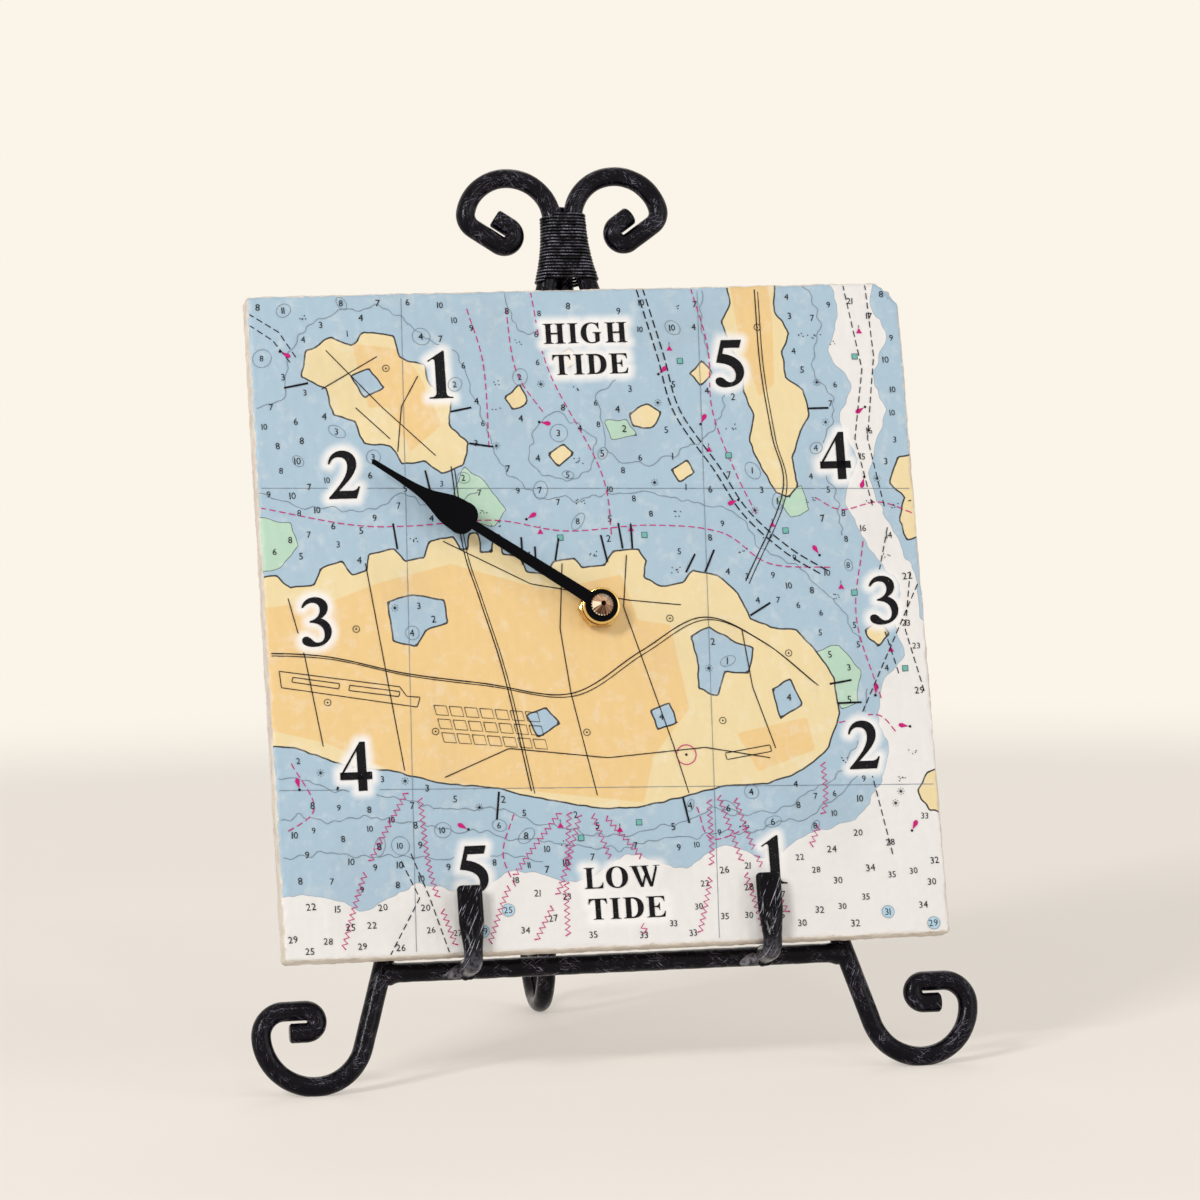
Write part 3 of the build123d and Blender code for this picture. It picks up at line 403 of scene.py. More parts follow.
def printed_stone():
    """The chart's areas, drawn from distances kept on the tile's points, over tumbled stone."""
    look = Look("printed_stone")
    broad = look.noise(26, 4, 0.6)
    mottle = look.noise(210, 4, 0.65)
    grain = look.noise(3000, 3, 0.6)
    wobble = look.line(look.noise(1400, 2), 0.12, -0.06)
    land, deep, marsh = (
        look.math("ADD", look.attribute(name), wobble) for name in ("land", "deep", "marsh")
    )
    ground = look.mix(look.fade(look.attribute("town"), -0.3, 0.3), LAND, TOWN)
    halo = look.math("ADD", look.attribute("halo"), look.times(wobble, 2))
    paint = WATER
    for share, tint in (
        (look.fade(deep, -SHARP, SHARP), DEEP),
        (look.times(look.near_zero(deep, 0.16, 0.07), 0.55), CONTOUR),
        (look.fade(marsh, -SHARP, SHARP), MARSH),
        (look.times(look.near_zero(marsh, 0.16, 0.09), 0.8), LINE),
        (look.fade(land, -SHARP, SHARP), ground),
        (look.near_zero(land, COAST_HALF_WIDTH + SHARP, COAST_HALF_WIDTH - SHARP), LINE),
        (look.times(look.fade(halo, -3.5, -0.2), 0.95), HALO),
        # faint veins, stains and specks of the stone through the print
        (look.times(look.fade(mottle, 0.50, 0.72), 0.20), (236, 233, 226)),
        (look.times(look.fade(broad, 0.50, 0.75), 0.10), (120, 116, 112)),
        (look.times(look.fade(grain, 0.68, 0.76), 0.35), (96, 92, 92)),
    ):
        paint = look.mix(share, paint, tint)
    stone = look.mix(look.fade(mottle, 0.35, 0.65), STONE, (207, 194, 181))
    stone = look.mix(look.fade(grain, 0.60, 0.72), stone, (168, 154, 138))
    # the print ends at the tumbled edges and is rubbed through along them
    facing = look.line(look.noise(500, 3), 0.30, look.attribute("facing"))
    ragged = look.line(look.noise(330, 4, 0.7), 2.6, look.attribute("edge"))
    printed = look.times(look.fade(facing, 0.78, 0.92), look.fade(ragged, 1.75, 2.05))
    relief = look.math("ADD", look.times(mottle, 0.6), look.times(grain, 0.25))
    return look.surface(
        look.mix(printed, stone, paint), look.line(mottle, 0.25, 0.36), (relief, 0.28, 0.0004)
    )


# Outlines on the dial

def places_of(text):
    """Places written as "x,y x,y"."""
    return np.array([[float(value) for value in pair.split(",")] for pair in text.split()])


def straight_loop(points, spacing=0.7):
    """The loop with straight sides, as evenly spaced places."""
    places = []
    for start, end in zip(points, np.roll(points, -1, axis=0)):
        steps = max(1, int(np.linalg.norm(end - start) / spacing))
        places += [start + (end - start) * k / steps for k in range(steps)]
    return np.array(places)


def smooth_loop(points, spacing=0.9, closed=False):
    """A Catmull-Rom curve through points, as evenly spaced places."""
    points = np.asarray(points, float)
    before, after = 2 * points[:1] - points[1:2], 2 * points[-1:] - points[-2:-1]
    if closed:
        before, after = points[-1:], points[:2]
    row = np.vstack([before, points, after])
    places = []
    for a, b, c, d in zip(row, row[1:], row[2:], row[3:]):
        steps = max(2, int(np.linalg.norm(c - b) / spacing))
        for t in np.arange(steps) / steps:
            square, cube = 2 * a - 5 * b + 4 * c - d, 3 * b - a - 3 * c + d
            places.append((2 * b + (c - a) * t + square * t**2 + cube * t**3) / 2)
    return np.array(places if closed else places + [points[-1]])


def roughened(loop, amount, seed, closed=True):
    """The loop pushed in and out as a coast is, with small bays and points."""
    chance = np.random.default_rng(seed)
    row = np.pad(loop, ((1, 1), (0, 0)), "wrap" if closed else "edge")
    after = row[2:]
    along = after - row[:-2]
    across = unit(np.stack([along[:, 1], -along[:, 0]], axis=1), 1e-9)
    length = np.linalg.norm(after - loop, axis=1)
    travelled = np.cumsum(length) / length.sum()
    push = np.zeros(len(loop))
    for waves in range(3, max(8, int(length.sum() / 3.2))):
        size = chance.normal() / waves**0.75
        push += size * np.sin(TURN * (waves * travelled + chance.random()))
    return loop + across * (push * amount)[:, None]


def distance_to(places, loop):
    """Distance from places to a loop, positive inside it."""
    nearest = np.full(len(places), 1e6)
    inside = np.zeros(len(places), bool)
    x, y = places[:, 0], places[:, 1]
    for (ax, ay), (bx, by) in zip(loop, np.roll(loop, -1, axis=0)):
        dx, dy = bx - ax, by - ay
        span = dx * dx + dy * dy
        if span < 1e-12:
            continue
        t = np.clip(((x - ax) * dx + (y - ay) * dy) / span, 0, 1)
        nearest = np.minimum(nearest, (x - ax - t * dx) ** 2 + (y - ay - t * dy) ** 2)
        if ay != by:
            inside ^= ((ay > y) != (by > y)) & (x < dx * (y - ay) / dy + ax)
    nearest = np.sqrt(nearest)
    return np.where(inside, nearest, -nearest)


def distance_to_any(places, loops):
    """Distance to the nearest of several loops, positive inside any."""
    return np.max([distance_to(places, loop) for loop in loops], axis=0)


# The chart: an invented coast, as (outline, roughness, seed). 108 lies past the tile's edge.
LAND_LOOPS = [
    # the mainland, with its quays along the upper shore
    ("-108,14 -97,15 -93,11 -86,12 -84,17 -77,19 -74,15 -70,16 -69,21 -61,22 -58,18 -52,19 "
     "-50,24 -43,25 -41,21 -38,21 -37.5,26 -35.5,26 -35,20 -31,20 -30.5,25.5 -28.5,25.5 -28,19.5 "
     "-23,19 -21,14 -15,13 -13,17 -6,18 -4,14.5 3,15 6,19.5 14,20 16,16 15,11 20,8 27,9 30,13 "
     "38,11 44,5 47,-3 53,-6 61,-7 66,-13 71,-22 72,-33 68,-43 60,-50 49,-54 36,-54 22,-57 8,-60 "
     "-6,-59 -20,-56 -34,-52 -50,-50 -66,-45 -80,-43 -94,-37 -108,-36", 0.3, 3),
    # the upper island
    ("-84,84 -76,88 -70,85 -66,89 -57,88 -55,82 -48,79 -47,72 -41,68 -42,60 -36,54 -38,47 -45,45 "
     "-50,49 -57,48 -60,54 -68,55 -70,62 -77,64 -79,72 -86,76", 0.32, 8),
    # the spit
    ("47,108 48,96 45,90 47,82 51,76 50,68 53,60 51,52 54,44 58,36 62,34 65,38 64,47 67,55 70,60 "
     "69,68 64,72 63,80 66,86 62,93 63,108", 0.3, 5),
    ("108,22 98,20 96,26 98,33 94,38 97,46 108,48", 0.3, 11),
    ("108,-66 98,-64 95,-58 98,-52 108,-50", 0.3, 13),
    ("14,62 20,65 24,62 21,57 15,58", 0.25, 17),
    ("-8,80 -3,83 0,79 -5,76", 0.2, 19),
    ("26,44 31,47 33,43 28,40", 0.2, 23),
    ("-12,50 -7,53 -4,50 -9,46", 0.2, 29),
    ("82,-8 87,-5 90,-9 86,-13", 0.25, 63),
    ("34,74 38,78 41,74 37,70", 0.2, 67),
    ("-24,68 -19,72 -17,66 -22,64", 0.2, 69),
]
POND_LOOPS = [
    ("-64,6 -56,8 -47,6 -46,-1 -53,-3 -56,-8 -63,-6", 0.2, 31),
    ("28,-8 34,-5 40,-9 47,-12 45,-20 38,-19 35,-26 29,-24 30,-17", 0.25, 37),
    ("-71,76 -65,78 -61,72 -67,69", 0.2, 41),
    ("14,-30 20,-28 22,-34 16,-36", 0.2, 43),
    ("52,-25 58,-22 61,-30 54,-34", 0.2, 44),
    ("-24,-30 -18,-28 -14,-33 -21,-37", 0.2, 46),
]
TOWN_LOOPS = [
    "-108,5 -80,7 -66,12 -44,17 -22,10 -14,8 8,12 12,-2 22,-4 26,-30 14,-44 10,-58 -60,-48 -86,-36 "
    "-108,-30",
    "-70,86 -56,84 -50,76 -44,60 -54,52 -60,66 -66,66", "48,108 50,84 55,66 60,70 61,90 60,108",
    "40,-38 62,-34 64,-44 46,-50",
]
MARSH_LOOPS = [
    ("-108,16 -96,17 -90,24 -92,31 -100,33 -108,32", 0.3, 47),
    ("-38,47 -32,42 -26,33 -30,28 -38,30 -42,38", 0.3, 53),
    ("66,-14 74,-12 80,-20 78,-30 73,-32", 0.3, 59),
    ("13,60 6,60 8,54 16,55", 0.25, 60),
    ("58,34 62,28 68,30 66,38", 0.25, 62),
]
DEEP_LOOPS = [
    ("80,108 82,92 78,80 84,70 80,58 84,46 79,34 84,22 90,12 95,5 92,-4 94,-16 87,-24 84,-36 "
     "86,-46 80,-58 72,-66 58,-70 46,-76 34,-72 20,-78 4,-74 -12,-82 -30,-78 -45,-84 -60,-80 "
     "-76,-87 -90,-82 -108,-85 -108,-108 108,-108 108,-12 101,-4 100,10 95,20 91,30 88,40 90,48 "
     "95,60 91,72 96,84 92,94 94,108", 1.0, 61),
]


def coast(loops, spacing=0.9, smooth=False):
    """A table's outlines as rough closed lines."""
    lines = []
    for text, amount, seed in loops:
        points = places_of(text)
        line = smooth_loop(points, spacing, True) if smooth else straight_loop(points, spacing)
        lines.append(roughened(line, amount, seed))
    return lines


land_lines = coast(LAND_LOOPS)
pond_lines = coast(POND_LOOPS, 0.7)
marsh_lines = coast(MARSH_LOOPS)
deep_lines = coast(DEEP_LOOPS, 1.2, True)
town_lines = [straight_loop(places_of(text), 4.0) for text in TOWN_LOOPS]


# Numerals and words: bold serif letters on a grid of 1000 to the em. A letter is its width and
# its outlines; C starts a curve, and an outline in brackets is moved across.

STEM = (
    "20,676 370,676 370,657 C 295,652 280,640 280,580 280,96 C 280,36 295,24 370,19 370,0 20,0 20,19 C "
    "95,24 110,36 110,96 110,580 C 110,640 95,652 20,657"
)
FOOT_ARM = "200,0 620,0 645,190 618,190 C 590,90 530,36 420,36 200,36"
ROUND_LEFT = (
    "390,690 C 170,690 30,540 30,340 C 30,135 170,-15 390,-15 390,20 C 270,20 215,150 215,340 C 215,530 "
    "270,655 390,655"
)
GLYPHS = {
    "1": (400,
         "60,545 285,688 305,688 305,95 C 305,40 330,20 400,18 400,0 60,0 60,18 C 140,20 165,40 165,95 "
         "165,520 C 165,560 150,575 120,562 68,528"),
    "2": (490,
         "30,0 420,0 475,170 452,170 C 430,125 405,112 350,112 175,112 C 330,260 440,370 440,500 C "
         "440,610 360,688 245,688 C 135,688 55,615 40,500 62,493 C 85,560 130,595 190,595 C 265,595 "
         "310,545 310,465 C 310,330 200,200 30,20"),
    "3": (480,
         "45,545 C 75,640 145,688 240,688 C 345,688 415,625 415,540 C 415,470 375,420 310,385 C 400,355 "
         "450,290 450,200 C 450,75 345,-14 190,-14 C 95,-14 30,20 30,75 C 30,110 55,135 90,135 C 120,135 "
         "140,122 170,90 C 200,58 225,45 255,45 C 315,45 350,90 350,160 C 350,260 285,325 150,330 "
         "150,350 C 250,375 300,430 300,510 C 300,570 260,608 200,608 C 145,608 100,580 65,535"),
    "4": (500, "270,0 395,0 395,688 320,688 270,610", "320,688 25,225 25,160 85,265 270,565",
         "25,160 470,160 470,265 25,265"),
    "5": (470,
         "140,676 435,676 398,560 172,560 148,478 C 330,452 445,350 445,215 C 445,80 325,-14 165,-14 C "
         "80,-14 22,22 22,75 C 22,110 48,135 85,135 C 115,135 138,122 168,92 C 190,70 210,58 240,58 C "
         "290,58 322,100 322,165 C 322,262 240,335 50,350"),
    "I": (389, STEM),
    "H": (778, STEM, (389, STEM), "270,312 510,312 510,366 270,366"),
    "D": (722, STEM,
         "200,676 330,676 C 560,676 690,550 690,340 C 690,130 560,0 330,0 200,0 200,36 270,36 C 430,36 "
         "500,140 500,340 C 500,540 430,640 270,640 200,640"),
    "E": (667, STEM, FOOT_ARM, "200,676 610,676 625,500 600,500 C 580,600 530,640 420,640 200,640",
         "200,365 330,365 C 400,365 425,400 440,470 462,470 462,220 440,220 C 425,290 400,325 330,325 "
         "200,325"),
    "L": (667, STEM, FOOT_ARM),
    "T": (667, (139, STEM),
         "30,500 55,500 C 80,600 130,640 240,640 430,640 C 540,640 590,600 612,500 637,500 625,676 "
         "42,676"),
    "O": (780, ROUND_LEFT,
         "390,690 C 610,690 750,540 750,340 C 750,135 610,-15 390,-15 390,20 C 510,20 565,150 565,340 C "
         "565,530 510,655 390,655"),
    "G": (778, ROUND_LEFT,
         "390,690 C 470,690 520,660 560,660 C 590,660 600,670 612,690 635,690 640,470 615,470 C 580,590 "
         "500,655 390,655",
         "390,-15 C 480,-15 570,10 650,60 650,260 C 650,320 665,335 715,340 715,358 420,358 420,340 C "
         "490,335 505,320 505,260 505,60 C 480,35 440,20 390,20"),
    "W": (1000, "60,662 232,662 425,-15 335,-15", "372,60 425,-15 560,450 535,540",
         "385,662 552,662 728,-15 640,-15", "672,60 728,-15 905,600 878,662 850,662",
         "5,657 305,657 305,676 5,676", "335,657 620,657 620,676 335,676",
         "775,657 985,657 985,676 775,676"),
}
CAP_HEIGHT = 676.0
CURVE_STEPS = 8


def outline(path):
    """Places of a letter's outline."""
    words = iter(path.split())
    points = []
    for word in words:
        if word == "C":
            start = points[-1]
            a, b, c = (places_of(next(words))[0] for _ in range(3))
            for t in np.arange(1, CURVE_STEPS + 1) / CURVE_STEPS:
                s = 1 - t
                points.append(start * s**3 + 3 * a * t * s**2 + 3 * b * t**2 * s + c * t**3)
        else:
            points.append(places_of(word)[0])
    return np.array(points)


def letters(text, height, middle, tracking=0.0):
    """Outlines of a line of text, its middle at this place."""
    scale = height / CAP_HEIGHT
    pen = 0.0
    loops = []
    for letter in text:
        width, *parts = GLYPHS[letter]
        for part in parts:
            shift, path = part if isinstance(part, tuple) else (0, part)
            loops.append((outline(path) + [pen + shift, 0]) * scale)
        pen += width + tracking
    total = (pen - tracking) * scale
    return [loop + [middle[0] - total / 2, middle[1] - height / 2] for loop in loops]


NUMERAL_HEIGHT = 14.6
WORD_HEIGHT = 6.3
NUMERALS = [
    ("1", (-44.2, 75.5)), ("2", (-75.1, 45.3)), ("3", (-86.0, 0.6)), ("4", (-76.7, -43.8)),
    ("5", (-43.4, -76.3)), ("5", (46.3, 76.9)), ("4", (77.3, 46.8)), ("3", (88.8, 1.4)),
    ("2", (78.9, -43.2)), ("1", (47.9, -77.2)),
]
WORDS = [("HIGH", (2.1, 87.5)), ("TIDE", (3.0, 77.7)), ("LOW", (1.6, -80.3)), ("TIDE", (2.5, -89.7))]
letter_loops = []
for text, middle in NUMERALS:
    letter_loops += letters(text, NUMERAL_HEIGHT, middle)
for text, middle in WORDS:
    letter_loops += letters(text, WORD_HEIGHT, middle, 40)


# Distances that the print is drawn from

def land_distance(places):
    return np.minimum(distance_to_any(places, land_lines), -distance_to_any(places, pond_lines))


def deep_distance(places):
    return distance_to_any(places, deep_lines)


def halo_distance(places):
    """Distance to the nearest letter, looked for only close by."""
    reach = 5.0
    result = np.full(len(places), -reach)
    for loop in letter_loops:
        low, high = loop.min(axis=0) - reach, loop.max(axis=0) + reach
        near = np.where(np.all((places > low) & (places < high), axis=1))[0]
        if len(near):
            result[near] = np.maximum(result[near], distance_to(places[near], loop))
    return result


AREAS = {
    "land": land_distance,
    "town": lambda places: distance_to_any(places, town_lines),
    "deep": deep_distance,
    "marsh": lambda places: distance_to_any(places, marsh_lines),
    "halo": halo_distance,
}


class Field:
    def __init__(self, measure, step=0.8, half=106.0):
        self.step = step
        self.axis = np.arange(-half, half + step, step)
        x, y = np.meshgrid(self.axis, self.axis, indexing="ij")
        self.values = measure(np.stack([x.ravel(), y.ravel()], axis=1)).reshape(x.shape)

    def __call__(self, places):
        at = (np.atleast_2d(places) - self.axis[0]) / self.step
        cell = np.clip(at.astype(int), 0, len(self.axis) - 2)
        i, j = cell.T
        s, t = np.clip(at - cell, 0, 1).T
        v = self.values
        low = v[i, j] * (1 - s) + v[i + 1, j] * s
        high = v[i, j + 1] * (1 - s) + v[i + 1, j + 1] * s
        return low * (1 - t) + high * t


shore_field = Field(land_distance)
deep_field = Field(deep_distance)
halo_field = Field(halo_distance, 0.5)


# The tile: a tumbled slab

EDGE_RADIUS = 1.5
GRID = 0.9
EDGE_STEPS = np.array([0, 0.25, 0.55, 0.9, 1.3, 1.8, 2.4])
EDGE_MARGIN = 3.1
DEPTH_STEPS = [0, 0.25, 0.55, 0.9, 1.3, 1.8, 2.6, 4.6, 6.6, 7.4, 7.9, 8.3, 8.65, 8.95, TILE_THICK]
CORNER_CHIP = 4.6
HOLE_RADIUS = 4.75
FRONT_DEPTH = 3.0
FAR_OFF = -50.0


def wave_noise(x, y, seed, size):
    """A soft bumpy field from a few crossed waves, about -1 to 1."""
    chance = np.random.default_rng(seed)
    total = np.zeros(np.broadcast(x, y).shape)
    for _ in range(10):
        angle = chance.random() * TURN
        rate = TURN / size * (0.6 + chance.random())
        total += np.sin((x * math.cos(angle) + y * math.sin(angle)) * rate + chance.random() * 6.3)
    return total / 4


def edge_radius(x, y):
    return EDGE_RADIUS * (1 + 0.28 * wave_noise(x, y, 71, 9.0))


def rounded_depth(places):
    """How far the front has fallen back at places near its rounded edges."""
    radius = edge_radius(places[:, 0], places[:, 1])
    into = np.clip(radius[:, None] - (HALF - np.abs(places)), 0, None)
    reach = np.minimum(np.hypot(into[:, 0], into[:, 1]), radius)
    return radius - np.sqrt(radius**2 - reach**2)


def tile_block():
    """Points and faces of a square block with a hole, finer near its edges."""
    middle = np.linspace(EDGE_MARGIN - HALF, HALF - EDGE_MARGIN, int(2 * (HALF - EDGE_MARGIN) / GRID))
    across = np.concatenate([EDGE_STEPS - HALF, middle, HALF - EDGE_STEPS[::-1]])
    last, back = len(across) - 1, len(DEPTH_STEPS) - 1
    index, points, faces = {}, [], []

    def at(i, j, k):
        if (i, j, k) not in index:
            index[i, j, k] = len(points)
            points.append((across[i], across[j], -DEPTH_STEPS[k]))
        return index[i, j, k]

    def quad(*corners):
        faces.append([at(*corner) for corner in corners])

    centre = (across[:-1] + across[1:]) / 2
    keep = np.hypot(*np.meshgrid(centre - HUB[0], centre - HUB[1], indexing="ij")) > HOLE_RADIUS
    for i, j in np.argwhere(keep):
        quad((i, j, 0), (i + 1, j, 0), (i + 1, j + 1, 0), (i, j + 1, 0))
        quad((i, j, back), (i, j + 1, back), (i + 1, j + 1, back), (i + 1, j, back))
    for i in range(last):
        for k in range(back):
            quad((i, 0, k), (i, 0, k + 1), (i + 1, 0, k + 1), (i + 1, 0, k))
            quad((i, last, k), (i + 1, last, k), (i + 1, last, k + 1), (i, last, k + 1))
            quad((0, i, k), (0, i + 1, k), (0, i + 1, k + 1), (0, i, k + 1))
            quad((last, i, k), (last, i, k + 1), (last, i + 1, k + 1), (last, i + 1, k))
    # the hole's wall joins the two rims, cell by cell
    rim = set()
    for i, j in np.argwhere(~keep):
        low_low, high_low, high_high, low_high = (i, j), (i + 1, j), (i + 1, j + 1), (i, j + 1)
        for beside, a, b in (
            ((i + 1, j), high_low, high_high), ((i - 1, j), low_high, low_low),
            ((i, j + 1), high_high, low_high), ((i, j - 1), low_low, high_low),
        ):
            if keep[beside]:
                rim.update((a, b))
                quad((*a, 0), (*b, 0), (*b, back), (*a, back))
    points = np.array(points)
    for i, j in rim:
        for k in (0, back):
            corner = points[at(i, j, k)]
            corner[:2] = HUB + unit(corner[:2] - HUB) * HOLE_RADIUS
    return points, faces


def tumbled(points):
    """The block with rounded edges and a chipped corner, its normals, and where it is rounded."""
    x, y, z = points.T
    radius = edge_radius(x, y)
    # each point is pulled out again from a smaller block
    centre = np.array([0, 0, -TILE_THICK / 2])
    room = np.stack([HALF - radius, HALF - radius, TILE_THICK / 2 - radius], axis=1)
    inner = centre + np.clip(points - centre, -room, room)
    # the chipped corner pulls that block in along the diagonal
    beyond = (inner[:, 0] + inner[:, 1] - 2 * HALF) / math.sqrt(2) + CORNER_CHIP + EDGE_RADIUS
    pull = np.clip(beyond, 0, None) * (1 + 0.12 * wave_noise(x, z * 3, 77, 4.0))
    out = points - inner
    size = np.linalg.norm(out, axis=1, keepdims=True)
    normal = out / np.maximum(size, 1e-6)
    inner[:, :2] -= (pull / math.sqrt(2))[:, None]
    wear = 0.10 * wave_noise(x + z, y - z, 73, 2.6) + 0.10 * wave_noise(x, y + z, 79, 6.0) - 0.16
    at_edge = size > 1e-6
    rounded = inner + normal * (radius + np.clip(wear, -0.4, 0))[:, None]
    return np.where(at_edge, rounded, points), normal, at_edge[:, 0]


def stone_tile(material):
    """The slab, its front carrying the distances that the print is drawn from."""
    block, faces = tile_block()
    points, normal, at_edge = tumbled(block)
    places = points[:, :2]
    thing = piece("dial_tile", on_dial(places, points[:, 2]), faces, "easel", material)
    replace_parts(thing, "stone_tile")
    front = points[:, 2] > -FRONT_DEPTH
    values = {
        "facing": np.where(at_edge, normal[:, 2], np.where(front, 1.0, -1.0)),
        "edge": np.where(front, HALF - np.max(np.abs(places), axis=1), 0.0),
    }
    for name, measure in AREAS.items():
        values[name] = np.full(len(points), FAR_OFF)
        values[name][front] = measure(places[front])
    for name, data in values.items():
        thing.data.attributes.new(name, "FLOAT", "POINT").data.foreach_set("value", data.astype(np.float32))


# Thin sheets of ink on the face

def rotated(places, angle):
    c, s = plane(angle)
    return places @ np.array([[c, s], [-s, c]])


def evenly(line, spacing):
    """The same line with even steps."""
    line = np.asarray(line, float)
    lengths = lengths_along(line)
    steps = np.arange(0, lengths[-1], spacing)
    return np.stack([np.interp(steps, lengths, line[:, k]) for k in (0, 1)], axis=1)


def zigzag(line, step, swing):
    """Turns a line into the sharp waves that mark a cable."""
    line = evenly(line, step)
    sign = np.where(np.arange(len(line)) % 2 == 0, 1, -1)
    return line + to_the_left(line) * (sign * swing / 2)[:, None]


@functools.cache
def figure(letter):
    """A plain figure's flat mesh, one unit high, from the built-in font."""
    curve = bpy.data.curves.new("figure", "FONT")
    curve.body = letter
    curve.resolution_u = 2
    holder = placed("figure", curve)
    bpy.context.view_layer.update()
    mesh = bpy.data.meshes.new_from_object(holder.evaluated_get(bpy.context.evaluated_depsgraph_get()))
    points = np.array([v.co[:2] for v in mesh.vertices])
    faces = [tuple(p.vertices) for p in mesh.polygons]
    low, high = points.min(axis=0), points.max(axis=0)
    tall = high[1] - low[1]
    bpy.data.objects.remove(holder)
    bpy.data.meshes.remove(mesh)
    bpy.data.curves.remove(curve)
    return (points - low) / tall, faces, (high[0] - low[0]) / tall


class Print:
    """Ribbons, dots and letters of one ink, gathered into one piece."""

    def __init__(self, height):
        self.height = height
        self.points = []
        self.faces = []

    def add(self, points, faces):
        start = len(self.points)
        self.points += [tuple(point) for point in points]
        self.faces += [tuple(start + i for i in face) for face in faces]

    def polygon(self, loop):
        flat = [Vector((x, y, 0)) for x, y in loop]
        faces = []
        for triangle in tessellate_polygon([flat]):
            a, b, c = (flat[i] for i in triangle)
            faces.append(triangle if (b - a).cross(c - a).z > 0 else triangle[::-1])
        self.add(loop, faces)

    def ribbon(self, line, width, clear=1.9):
        """A stroke, left out under the letters' halo and off the dial."""
        line = np.asarray(line, float)
        n = len(line)
        if n < 2:
            return
        across = to_the_left(line, 1e-9) * width / 2
        shown = (np.abs(line).max(axis=1) < HALF - 0.7) & (halo_field(line) < -clear)
        faces = [(i, i + 1, n + i + 1, n + i) for i in range(n - 1) if shown[i] and shown[i + 1]]
        self.add(np.vstack([line - across, line + across]), faces)

    def dashes(self, line, width, dash, gap):
        step = 0.5
        line = evenly(line, step)
        period, length = int((dash + gap) / step), int(dash / step) + 1
        for start in range(0, len(line) - length, period):
            self.ribbon(line[start : start + length], width)

    def disc(self, middle, radius, sides=16):
        self.polygon(np.stack(circle(sides), axis=1) * radius + middle)

    def ring(self, middle, radius, width, sides=20, squash=1.0, turn=0.0):
        angles = np.arange(sides + 1) * TURN / sides
        loop = np.stack([np.cos(angles), np.sin(angles) * squash], axis=1) * radius
        self.ribbon(rotated(loop, turn) + middle, width, 0.4)

    def text(self, text, height, middle, turn=0.0):
        """Plain small figures."""
        run, pen = [], 0.0
        for letter in text:
            points, faces, width = figure(letter)
            run.append((points + [pen, 0], faces))
            pen += width + 0.15
        for points, faces in run:
            self.add(rotated((points - [pen / 2, 0.5]) * height, turn) + middle, faces)

    def finish(self, name, material):
        places = np.array(self.points)
        points = on_dial(places, self.height - rounded_depth(places))
        used = sorted({i for face in self.faces for i in face})
        renumber = {old: new for new, old in enumerate(used)}
        faces = [[renumber[i] for i in face] for face in self.faces]
        piece(name, points[used], faces, "easel", material, smooth=False)


GRATICULE = (-58.0, 34.0)
CONTOURS = [
    "-101,40 -86,36 -72,34 -58,38 -46,34 -34,38",
    "-101,66 -92,70 -90,82 -80,94 -60,96 -48,88 -38,82 -34,70 -30,58 -26,46 -18,38 -4,36 14,38 28,34 44,30 "
    "52,20 64,12 74,0 80,-12",
    "-24,101 -20,90 -12,88 6,90 16,84 12,74 4,68 8,50 20,48 40,54 44,70 38,84 40,101",
    "-14,60 -8,62 0,58 2,48 -4,42 -14,44 -18,52 -14,60",
    "-101,-46 -84,-50 -66,-53 -48,-58 -30,-60 -10,-66 10,-67 30,-62 50,-62 66,-54 78,-42 82,-26",
    "-101,-58 -84,-60 -62,-60 -42,-66 -20,-68 0,-72 24,-68 46,-68 64,-62 76,-52",
    "-101,-70 -80,-70 -60,-72 -40,-72 -22,-74", "72,101 76,88 72,76 78,64 74,48 76,36 78,22",
]
CHANNEL = places_of("20,101 25,80 29,62 40,44 48,30 60,18 72,10")
FAIRWAY_LINES = [
    "84,101 88,74 84,52 88,30", "91,101 92,78 88,52 92,28", "-101,96 -92,90 -86,80",
    "-101,92.5 -94,87.5 -88,79", "92,24 86,2 92,-22", "98,10 95,-8 100,-30", "100,6 78,-36 86,-80",
    "-70,-101 -60,-84 -66,-70", "-52,-101 -57,-84 -62,-70",
]
LIMITS = [
    "-14,101 -10,76 4,44 6,22", "-101,36 -74,30 -56,29 -30,30 -8,26 18,27 40,24 54,14 74,12",
    "36,101 40,82 40,62 46,42 52,28", "-34,96 -30,78 -30,50", "-22,96 -20,76 -12,62",
    "70,34 78,30 90,32 101,28", "-30,-60 -34,-72 -30,-84", "72,-36 84,-34 90,-40",
    "-96,-42 -90,-56 -101,-64", "84,20 80,-4 86,-30", "26,-60 30,-70 44,-66",
]
CABLES = [
    "-10,-61 -16,-98", "-6,-61 8,-98", "-16,-60 -40,-99", "-13,-60 -26,-99", "30,-58 24,-99",
    "33,-57 44,-99", "-62,-52 -84,-99", "-58,-54 -50,-99", "66,-48 60,-74", "-2,-62 16,-92",
    "38,-58 52,-94",
]
MAIN_ROADS = [
    "-108,-8 -84,-10 -60,-16 -36,-20 -10,-24 12,-12 32,-2 50,-10 66,-24",
    "-42,47 -40,22 -36,6 -30,-18 -24,-54", "56,100 56,76 58,54 60,36 46,8",
]
STREETS = [
    "-70,18 -66,-14 -62,-46", "-10,16 -12,-4 -10,-24 -4,-56", "10,18 8,2 12,-12 20,-40 24,-56",
    "-94,8 -90,-10 -86,-38", "-46,24 -20,10 10,4 26,2", "-50,-48 -30,-40 0,-44 30,-42 50,-46",
    "44,-6 46,-24 52,-44", "-78,84 -62,66 -46,50", "-80,72 -62,82", "-58,52 -56,66 -50,76", "-70,66 -60,56",
    "108,34 99,32",
]
